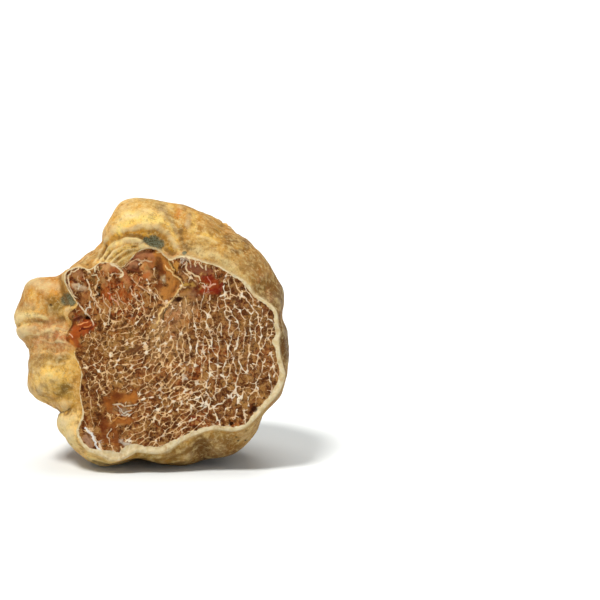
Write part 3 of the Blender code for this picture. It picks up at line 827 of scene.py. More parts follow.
# Small swellings and hollows on the side of the cut: u, v, radius, height.
SMALL_LUMPS = [
    (0.9, 20.9, 1.5, -0.5), (18.1, 20.2, 1.5, 0.35), (18.1, 20.2, 0.6, -0.3), (-6.0, 27.0, 1.8, 0.25),
    (-1.0, 27.2, 2.0, 0.2), (-7.2, 23.9, 1.6, 0.3), (1.8, 26.2, 1.6, 0.2),
    (-25.4, 8.0, 1.6, 0.3), (-21.4, 11.0, 1.8, 0.3), (-23.0, 7.0, 1.0, -0.3), (-19.8, 7.6, 1.1, -0.35),
    (-16.9, 6.6, 0.9, 0.7), (-23.5, -10.2, 1.3, 0.5), (-17.7, -13.6, 1.5, 0.8), (-20.5, -7.2, 2.6, 0.45),
    (-18.4, -10.7, 0.8, -0.18), (-24.2, -6.6, 1.4, 0.3), (-22.2, -4.9, 1.0, -0.2), (10.8, -22.6, 1.5, -0.4),
    (14.6, -21.2, 2.0, 0.3), (7.4, -23.6, 1.8, 0.35), (2.0, -24.9, 1.6, 0.3), (19.6, -19.6, 1.6, 0.25),
    (5.0, 28.8, 2.6, 0.5), (16.2, 25.4, 4.0, -1.8), (-1.5, 29.8, 4.6, -0.15), (-23.0, 13.5, 4.0, 0.2),
    (-28.0, 1.4, 3.0, 1.6), (-27.5, -6.5, 4.4, 0.3), (-19.5, -17.0, 3.8, 1.6), (-9.8, 22.5, 3.0, 0.8), (23.4, 14.2, 1.4, 0.2), (25.4, 9.6, 1.6, 0.25), (21.2, 16.9, 1.3, -0.2), (12.4, 24.6, 2.0, 0.22),
    (15.4, 23.0, 1.4, -0.15), (28.2, -4.0, 1.8, 0.3), (27.8, 2.0, 1.5, 0.25),
]
# The skin's colour on the side of the cut: u, v, radius, colour, share.
SKIN_TINTS = [
    (-4.5, 26.0, 3.6, (230, 190, 112), 1.0), (-1.0, 24.6, 2.4, (240, 198, 112), 1.0),
    (-6.6, 22.4, 2.6, (225, 176, 84), 1.0), (-2.6, 22.6, 2.2, (204, 144, 32), 1.6),
    (0.8, 28.2, 2.4, (214, 178, 112), 0.8), (3.4, 24.6, 1.7, (214, 170, 92), 0.9),
    (4.6, 21.4, 1.6, (216, 168, 78), 1.0), (-5.2, 20.2, 2.0, (222, 182, 104), 1.0),
    (9.0, 25.0, 3.2, (204, 160, 84), 1.0), (14.0, 22.0, 3.6, (198, 156, 82), 1.0),
    (18.6, 19.6, 2.6, (190, 150, 82), 1.0), (22.6, 15.0, 3.2, (184, 150, 98), 1.0),
    (25.8, 9.4, 3.0, (140, 104, 54), 1.6), (10.4, 19.6, 2.2, (216, 184, 124), 0.9),
    (16.6, 16.6, 2.2, (214, 184, 130), 0.9), (27.8, -1.0, 3.4, (128, 92, 46), 1.2),
    (27.6, -9.0, 2.6, (190, 160, 112), 0.9), (-24.0, 9.8, 3.0, (198, 146, 62), 1.0),
    (-20.8, 11.0, 2.4, (194, 140, 52), 1.0), (-20.0, 7.6, 1.6, (158, 128, 66), 1.0),
    # the two tints on the next line are a painted highlight along the ridge of the upper left knob
    (-24.8, 5.3, 1.4, (244, 210, 146), 1.1), (-27.4, 4.8, 1.6, (240, 206, 140), 1.1),
    (-22.6, 1.4, 3.0, (204, 154, 106), 1.1), (-18.8, 0.4, 2.4, (202, 148, 100), 1.0),
    (-24.6, -1.6, 2.2, (196, 156, 104), 0.9), (-22.0, -4.4, 2.2, (170, 138, 86), 1.1),
    (-24.6, -7.0, 2.0, (204, 168, 100), 0.9), (-20.4, -7.6, 2.8, (234, 196, 120), 1.1),
    (-17.2, -5.6, 1.8, (224, 186, 114), 0.9), (-22.8, -10.6, 1.8, (206, 170, 102), 1.0),
    (-18.2, -10.4, 1.4, (160, 134, 70), 1.0), (-17.6, -13.0, 2.0, (214, 176, 100), 1.0),
    (-16.8, -18.2, 2.6, (238, 208, 146), 1.1), (-14.0, -23.4, 2.6, (240, 210, 150), 1.0),
    # the brown tints along the underside from u = -1 to 16 are painted shade, darker where the underside turns from the
    # light
    (-8.6, -26.0, 3.0, (238, 212, 156), 1.0), (-1.0, -25.6, 3.0, (160, 132, 70), 1.1),
    (5.6, -24.6, 3.0, (166, 130, 66), 1.1), (11.4, -23.0, 2.6, (122, 86, 38), 1.2),
    (15.6, -22.6, 3.0, (158, 120, 64), 1.1), (19.8, -19.6, 2.4, (196, 164, 114), 1.0),
    (23.4, -16.0, 2.4, (186, 154, 104), 1.0),
]
# Marks drawn over those tints: points (one for a round mark), half width, colour, share.
SKIN_MARKS = [
    # streaks of the top lobe; the cream-white ones on the next line are a painted highlight
    ([(-6.9, 25.4), (-5.6, 26.4), (-3.2, 26.6)], 0.6, (255, 238, 188), 0.75), ([(-3.0, 28.0), (-1.0, 27.6), (1.0, 26.9)], 0.5, (248, 224, 168), 0.65),
    ([(-1.4, 26.3), (0.6, 25.8), (2.2, 24.9)], 0.55, (246, 216, 142), 0.65), ([(-7.2, 24.0), (-4.6, 24.4), (-1.4, 23.8)], 0.7, (230, 178, 72), 0.65),
    ([(-5.0, 28.6), (-3.4, 28.2), (-2.0, 27.4)], 0.45, (198, 152, 84), 0.6), ([(3.4, 27.4), (4.4, 25.4), (4.8, 23.4)], 0.6, (184, 160, 110), 0.6),
    ([(-7.9, 23.2), (-7.5, 25.0), (-6.4, 26.8)], 0.4, (196, 150, 76), 0.5), ([(-4.4, 25.6), (-2.8, 25.2)], 0.35, (206, 160, 78), 0.55),
    ([(0.4, 24.3), (2.2, 23.4), (3.6, 22.0)], 0.5, (206, 152, 52), 0.6), ([(-7.6, 22.4), (-5.8, 22.9), (-3.6, 23.1)], 0.4, (246, 208, 126), 0.5),
    # disc, specks and streaks on the shoulder
    ([(16.7, 20.3), (17.4, 21.4), (18.7, 21.8), (20.0, 21.3), (20.6, 20.2), (19.9, 19.2), (18.6, 18.8), (17.3, 19.2), (16.7, 20.3)], 0.5, (150, 112, 56), 0.8),
    ([(18.6, 20.3)], 0.9, (216, 180, 112), 0.7), ([(18.9, 20.2)], 0.35, (150, 108, 52), 0.8), ([(16.4, 23.0), (17.2, 21.9), (17.9, 21.5)], 0.5, (116, 88, 48), 0.6),
    ([(19.9, 22.0), (20.6, 20.8)], 0.6, (128, 98, 52), 0.5),
    ([(5.6, 22.8), (6.6, 21.2), (8.3, 19.5)], 0.2, (118, 86, 42), 0.6),
    # painted highlight: the pale yellow streaks on this line and the next
    ([(9.5, 22.0), (12.0, 22.8), (14.5, 22.0)], 0.6, (236, 198, 122), 0.6),
    ([(10.5, 20.4), (13.0, 20.6), (15.5, 19.4)], 0.5, (232, 196, 126), 0.5),
    ([(9.0, 26.0), (10.6, 24.4), (11.4, 23.2)], 0.5, (172, 128, 62), 0.5),
    ([(12.5, 24.4), (15.0, 23.2)], 0.4, (184, 140, 70), 0.5),
    ([(22.5, 15.6), (23.6, 13.8)], 0.45, (198, 140, 92), 0.5), ([(24.6, 11.0), (25.4, 8.6)], 0.5, (178, 120, 78), 0.5),
    # rings and dots on the lower left knob
    ([(-24.1, -10.1), (-23.3, -9.0), (-22.0, -9.1), (-21.6, -10.2), (-22.4, -11.2), (-23.6, -11.0), (-24.1, -10.1)], 0.32, (150, 112, 56), 0.75),
    ([(-21.5, -8.0), (-20.4, -8.8), (-19.6, -8.2)], 0.22, (150, 116, 60), 0.6), ([(-18.6, -9.4), (-17.6, -9.9), (-16.9, -9.2)], 0.2, (126, 94, 48), 0.6),
    ([(-20.2, -10.6), (-19.4, -11.8), (-18.2, -12.0)], 0.22, (132, 100, 50), 0.6), ([(-25.2, -7.6), (-24.6, -9.0)], 0.25, (170, 134, 80), 0.6),
    ([(-19.0, -6.4), (-17.8, -7.4), (-17.4, -8.6)], 0.3, (238, 200, 120), 0.55), ([(-22.0, -12.6), (-20.2, -13.6)], 0.35, (232, 194, 120), 0.5),
    # painted highlight: the broad cream bands across the top lobe on this line and the next
    ([(-6.8, 23.4), (-4.2, 25.0), (-0.8, 25.8), (2.2, 26.0)], 1.1, (252, 224, 150), 0.75),
    ([(-6.4, 26.0), (-4.4, 27.4), (-2.4, 27.2)], 0.7, (252, 226, 160), 0.6),
    ([(-2.6, 28.6)], 1.0, (212, 164, 86), 0.6), ([(0.6, 27.4)], 0.8, (226, 190, 124), 0.5),
    ([(2.2, 28.2), (3.4, 26.4), (4.6, 24.4), (5.2, 22.6)], 0.75, (184, 156, 116), 0.75),
    # painted highlight along the ridge on this line, and painted shade along the valley on the next
    ([(3.4, 24.8), (4.3, 23.0), (5.2, 21.0), (5.9, 19.2)], 0.55, (244, 206, 124), 0.8),
    ([(6.4, 23.4), (6.4, 21.6), (7.2, 20.2), (8.6, 19.2)], 0.5, (132, 100, 56), 0.7),
    ([(-5.4, 22.9), (-3.6, 23.7), (-1.6, 23.6), (0.4, 23.4), (2.2, 22.6), (3.6, 21.0)], 0.8, (178, 128, 38), 0.75),
    ([(-7.6, 22.4), (-8.6, 20.4), (-9.4, 18.8)], 0.6, (214, 166, 72), 0.7),
    ([(-2.2, 22.4), (-0.6, 22.6)], 0.6, (232, 184, 84), 0.7),
    ([(2.4, 20.2), (3.4, 19.4), (4.6, 18.9)], 0.5, (230, 178, 72), 0.8),
    # the curl's stripes: partly its own cream and tan, partly painted highlight on its ridges and painted shade in its
    # grooves
    ([(-10.0, 17.6), (-8.6, 19.2), (-7.1, 20.5), (-4.6, 21.7), (-2.6, 21.5)], 0.33, (250, 222, 152), 0.85),
    ([(-9.5, 16.9), (-8.0, 18.6), (-6.5, 19.9), (-3.7, 21.0), (-1.4, 20.8)], 0.2, (150, 108, 48), 0.75),
    ([(-8.9, 16.6), (-7.5, 18.1), (-6.1, 19.2), (-3.2, 20.4), (-0.4, 19.9)], 0.28, (242, 214, 148), 0.8),
    ([(-8.0, 16.2), (-6.8, 17.6), (-5.4, 18.7), (-2.9, 19.7)], 0.18, (158, 118, 58), 0.65),
    ([(-7.2, 16.0), (-5.8, 17.2), (-4.0, 18.5), (-1.9, 19.4)], 0.32, (216, 198, 146), 0.7),
    # painted shade in the crease above the curl
    ([(-1.9, 21.3), (-0.6, 20.4), (1.2, 19.6), (2.6, 19.2)], 0.25, (92, 70, 34), 0.7),
    ([(5.8, 27.2)], 0.8, (224, 150, 100), 0.55), ([(9.2, 27.0), (9.0, 25.2), (8.8, 23.2)], 0.6, (242, 210, 136), 0.65),
    ([(7.6, 25.6), (7.4, 24.0)], 0.5, (182, 136, 74), 0.6), ([(11.0, 22.8), (12.8, 22.0), (14.0, 21.4)], 0.6, (242, 204, 118), 0.65),
    ([(12.6, 24.8)], 1.1, (190, 148, 84), 0.5), ([(13.9, 18.1)], 1.0, (196, 140, 62), 0.55),
    ([(11.4, 20.0)], 0.9, (222, 178, 96), 0.5), ([(16.2, 21.2)], 1.0, (138, 104, 54), 0.65),
    ([(17.2, 23.2)], 0.9, (144, 112, 64), 0.65), ([(18.6, 20.2)], 0.95, (192, 160, 84), 0.7),
    ([(17.2, 19.4), (18.4, 18.7), (19.9, 19.2), (20.2, 20.6)], 0.25, (138, 100, 48), 0.6),
    ([(9.6, 19.0), (12.4, 18.6), (15.8, 17.0), (18.4, 14.9), (20.6, 12.8)], 0.9, (234, 210, 160), 0.7),
    ([(22.8, 12.9)], 0.55, (196, 118, 66), 0.6), ([(23.7, 10.8)], 0.8, (154, 130, 80), 0.6),
    ([(26.0, 12.0)], 0.9, (150, 118, 72), 0.5), ([(21.4, 16.4)], 1.0, (170, 144, 96), 0.5),
    ([(20.2, 9.8), (22.4, 8.2), (24.2, 6.6)], 0.5, (214, 190, 142), 0.6), ([(25.6, 7.4)], 0.7, (158, 132, 84), 0.5),
    # the left side
    ([(-20.6, 10.4)], 1.5, (220, 164, 60), 0.7), ([(-23.4, 9.4)], 1.0, (186, 132, 48), 0.6),
    ([(-25.0, 9.6)], 1.1, (232, 190, 110), 0.6), ([(-23.7, 7.9)], 1.2, (238, 200, 144), 0.65),
    ([(-24.6, 7.0)], 0.6, (176, 138, 92), 0.6), ([(-27.4, 6.8)], 0.8, (184, 148, 94), 0.6),
    # painted highlight along the knob's lower ridge, and on the next line painted shade in the crease below it
    ([(-27.6, 5.5), (-26.0, 5.9), (-24.4, 5.5), (-22.4, 5.0)], 0.42, (255, 234, 172), 0.85),
    ([(-26.9, 4.6), (-24.2, 4.3), (-21.8, 4.2)], 0.35, (168, 122, 68), 0.5),
    ([(-19.4, 7.0)], 1.2, (146, 116, 42), 0.65), ([(-16.7, 6.1)], 0.9, (212, 168, 118), 0.6),
    ([(-21.1, 3.7)], 1.3, (206, 154, 112), 0.6), ([(-21.2, 1.3)], 1.3, (166, 130, 102), 0.65),
    ([(-18.6, 0.7)], 1.2, (200, 130, 88), 0.65), ([(-23.9, -0.1)], 1.2, (226, 166, 116), 0.6),
    ([(-18.0, 3.4)], 0.8, (214, 160, 116), 0.6), ([(-26.2, 1.6)], 0.9, (170, 140, 88), 0.5),
    ([(-23.2, 2.5), (-21.6, 2.7), (-20.2, 3.1), (-19.2, 2.3), (-17.8, 2.2), (-16.7, 2.0)], 0.2, (254, 220, 166), 0.85),
    ([(-20.3, 3.0), (-20.6, 2.0), (-21.0, 0.4), (-20.8, -0.8)], 0.14, (246, 208, 156), 0.6),
    ([(-18.4, 2.2), (-18.8, 1.0), (-18.5, -0.6)], 0.13, (240, 196, 146), 0.55),
    ([(-25.8, -2.2), (-23.5, -2.6), (-21.6, -2.3), (-20.4, -2.8), (-17.9, -2.7)], 0.24, (246, 204, 142), 0.7),
    ([(-24.6, 0.8), (-24.9, -0.8), (-24.4, -2.0)], 0.15, (236, 190, 136), 0.5),
    ([(-23.6, -4.4)], 1.5, (158, 128, 86), 0.65), ([(-18.9, -3.8)], 0.8, (122, 94, 50), 0.7),
    ([(-21.4, -3.7)], 0.8, (150, 116, 66), 0.6), ([(-25.6, -6.0)], 0.9, (168, 138, 92), 0.6),
    ([(-21.0, -6.3)], 2.0, (252, 216, 134), 0.75), ([(-17.4, -4.8)], 1.2, (246, 208, 132), 0.65),
    ([(-23.9, -8.4)], 1.3, (242, 204, 124), 0.7), ([(-18.2, -7.6)], 1.0, (236, 196, 110), 0.6),
    ([(-23.7, -10.1)], 0.55, (128, 94, 40), 0.75), ([(-22.5, -10.4)], 0.6, (246, 210, 130), 0.7),
    ([(-22.9, -9.3), (-21.9, -9.8), (-21.7, -10.8), (-22.4, -11.6)], 0.2, (146, 108, 48), 0.6),
    ([(-17.5, -9.6)], 1.2, (134, 112, 52), 0.7), ([(-18.8, -11.2)], 0.8, (150, 122, 60), 0.6),
    ([(-20.8, -9.4)], 1.0, (214, 170, 86), 0.5), ([(-17.9, -13.4)], 1.1, (240, 198, 116), 0.75),
    # painted shade in the crease below the lower left knob
    ([(-20.2, -13.8), (-18.8, -15.0), (-17.2, -15.4), (-15.9, -14.6)], 0.3, (116, 80, 36), 0.75),
    ([(-17.4, -17.0), (-17.0, -19.0), (-16.4, -21.2)], 1.0, (255, 230, 170), 0.75),
    ([(-18.3, -18.6)], 0.6, (190, 156, 96), 0.5), ([(-15.6, -23.4)], 0.8, (198, 160, 96), 0.5),
    ([(-13.4, -24.4), (-10.8, -25.8), (-8.2, -26.0)], 0.6, (250, 226, 168), 0.7),
    ([(-14.6, -22.0), (-12.0, -24.2), (-9.8, -25.1)], 0.3, (186, 146, 66), 0.5),
    ([(-5.6, -24.9), (-1.6, -24.8), (2.4, -24.6)], 0.6, (190, 150, 66), 0.6),
    ([(3.0, -25.6)], 1.2, (196, 150, 62), 0.6), ([(7.2, -24.4)], 1.0, (206, 164, 80), 0.5),
    # the dark spots on this line are painted shade in the hollow of the underside
    ([(10.6, -22.4)], 1.3, (112, 76, 26), 0.75), ([(9.2, -21.4)], 0.7, (140, 100, 40), 0.6),
    ([(13.6, -21.6)], 1.1, (190, 150, 84), 0.55), ([(16.4, -21.2)], 0.9, (140, 108, 58), 0.5),
    ([(20.6, -18.9), (22.4, -16.8), (24.0, -14.8)], 0.8, (216, 188, 136), 0.6),
]
# Grey-green bloom on the skin: u, v, radius.
BLOOMS = [(-0.9, 21.5, 0.7), (0.6, 21.1, 1.5), (2.0, 20.5, 1.1), (-17.5, 8.9, 1.5), (-16.4, 8.2, 0.9), (7.2, 18.6, 0.5)]
# Black dots on the skin.
DOTS = [(18.45, -20.85, 0.24), (18.0, -20.1, 0.17), (19.95, -20.85, 0.2), (-21.0, 7.7, 0.26), (-1.6, 21.1, 0.3)]

# The flesh's colour: u, v, radius, colour, share.
FLESH_TINTS = [
    (9.0, 5.6, 2.8, (190, 142, 84), 1.0), (4.0, 4.6, 2.2, (176, 128, 74), 0.8),
    (14.0, -2.0, 5.0, (164, 112, 78), 1.0), (20.0, 0.0, 4.0, (156, 108, 76), 1.0),
    (24.0, -5.0, 3.0, (168, 120, 84), 0.8), (18.0, 7.0, 3.0, (152, 104, 68), 1.0),
    (8.6, 15.2, 2.2, (176, 118, 88), 1.2), (12.4, 15.0, 1.8, (172, 112, 84), 1.0),
    (16.6, 12.2, 1.8, (150, 100, 62), 0.9), (12.4, 11.6, 1.5, (150, 58, 40), 1.6),
    (10.2, 10.6, 0.9, (160, 70, 36), 1.2), (13.9, 12.2, 0.9, (140, 40, 36), 1.5),
    (0.6, 15.6, 2.6, (160, 104, 72), 1.1), (-1.6, 17.6, 1.6, (140, 88, 60), 1.1),
    (4.6, 13.4, 1.7, (178, 112, 58), 1.3), (2.2, 10.6, 2.0, (172, 108, 66), 1.0),
    (-3.0, 12.6, 2.4, (182, 116, 78), 1.0), (-6.6, 11.6, 2.2, (170, 96, 48), 1.1),
    (-8.6, 9.8, 1.4, (158, 74, 26), 1.5), (-7.2, 7.2, 1.8, (158, 86, 38), 1.2),
    (-3.0, 7.6, 2.2, (168, 100, 58), 1.0), (-10.6, 7.0, 1.4, (166, 98, 52), 1.0),
    (-6.6, 2.0, 3.0, (166, 120, 66), 1.1), (-2.0, 1.6, 2.4, (168, 124, 70), 0.9),
    (-10.6, -2.6, 2.6, (150, 98, 50), 1.0), (-12.6, -7.6, 2.4, (128, 76, 32), 1.2),
    (-12.6, -12.6, 2.0, (124, 72, 30), 1.2), (-7.0, -6.4, 2.8, (152, 98, 52), 1.0),
    (-2.0, -6.6, 2.8, (164, 110, 70), 0.9), (4.0, -4.6, 3.0, (172, 122, 80), 0.9),
    (7.2, -7.6, 1.4, (184, 140, 110), 0.9), (2.0, -13.0, 3.0, (156, 104, 62), 1.0),
    (6.6, -16.6, 3.0, (142, 88, 54), 1.1), (9.6, -15.6, 1.2, (140, 72, 48), 0.9),
    (1.0, -19.0, 3.0, (150, 98, 56), 1.0), (-4.6, -21.6, 2.4, (168, 116, 80), 1.0),
    (-12.2, -21.0, 1.8, (170, 118, 84), 1.2), (-8.6, -16.4, 2.0, (150, 84, 36), 1.1),
    (-6.2, -12.2, 1.8, (158, 88, 36), 1.2), (14.6, -13.6, 2.4, (150, 96, 62), 1.0),
    (19.6, -13.4, 2.2, (156, 106, 72), 1.0), (17.2, -16.2, 1.2, (168, 116, 70), 0.9),
    (-15.0, 13.6, 1.6, (168, 124, 96), 1.1), (-14.4, 10.4, 1.4, (170, 122, 86), 1.0),
    (-8.6, 15.6, 1.2, (176, 122, 90), 1.1), (-13.0, 8.0, 1.4, (172, 118, 78), 0.9),
    (-10.6, 10.8, 0.9, (126, 100, 64), 1.2), (-6.2, 13.8, 1.2, (150, 112, 66), 0.9),
    (24.6, 6.0, 1.8, (136, 96, 64), 1.0), (-1.4, -1.6, 1.4, (146, 92, 52), 0.9),
]
# Glassy patches, as outlines.
GLASSY = [
    [(-9.9, -11.4), (-8.4, -10.8), (-5.0, -10.8), (-2.7, -10.9), (-2.7, -12.4), (-4.6, -12.9), (-7.4, -12.6),
     (-7.8, -14.8), (-9.0, -14.6)],
    [(-10.8, -16.2), (-8.6, -15.8), (-6.0, -15.9), (-3.7, -16.2), (-3.7, -17.5), (-6.4, -17.6), (-6.6, -21.8),
     (-8.4, -21.6), (-10.4, -21.2), (-10.9, -18.6)],
    [(-17.9, 0.4), (-17.2, 3.0), (-15.4, 5.4), (-12.5, 5.2), (-11.8, 3.2), (-14.4, 1.6), (-15.6, -1.9), (-16.6, -1.6)],
    [(3.2, 17.0), (4.6, 15.4), (6.1, 13.2), (6.1, 11.6), (4.8, 9.6), (3.6, 9.6), (4.0, 12.4), (3.0, 14.6)],
    [(10.6, 13.4), (13.4, 13.8), (14.6, 13.0), (14.4, 10.4), (11.6, 9.6), (9.2, 10.2)],
]
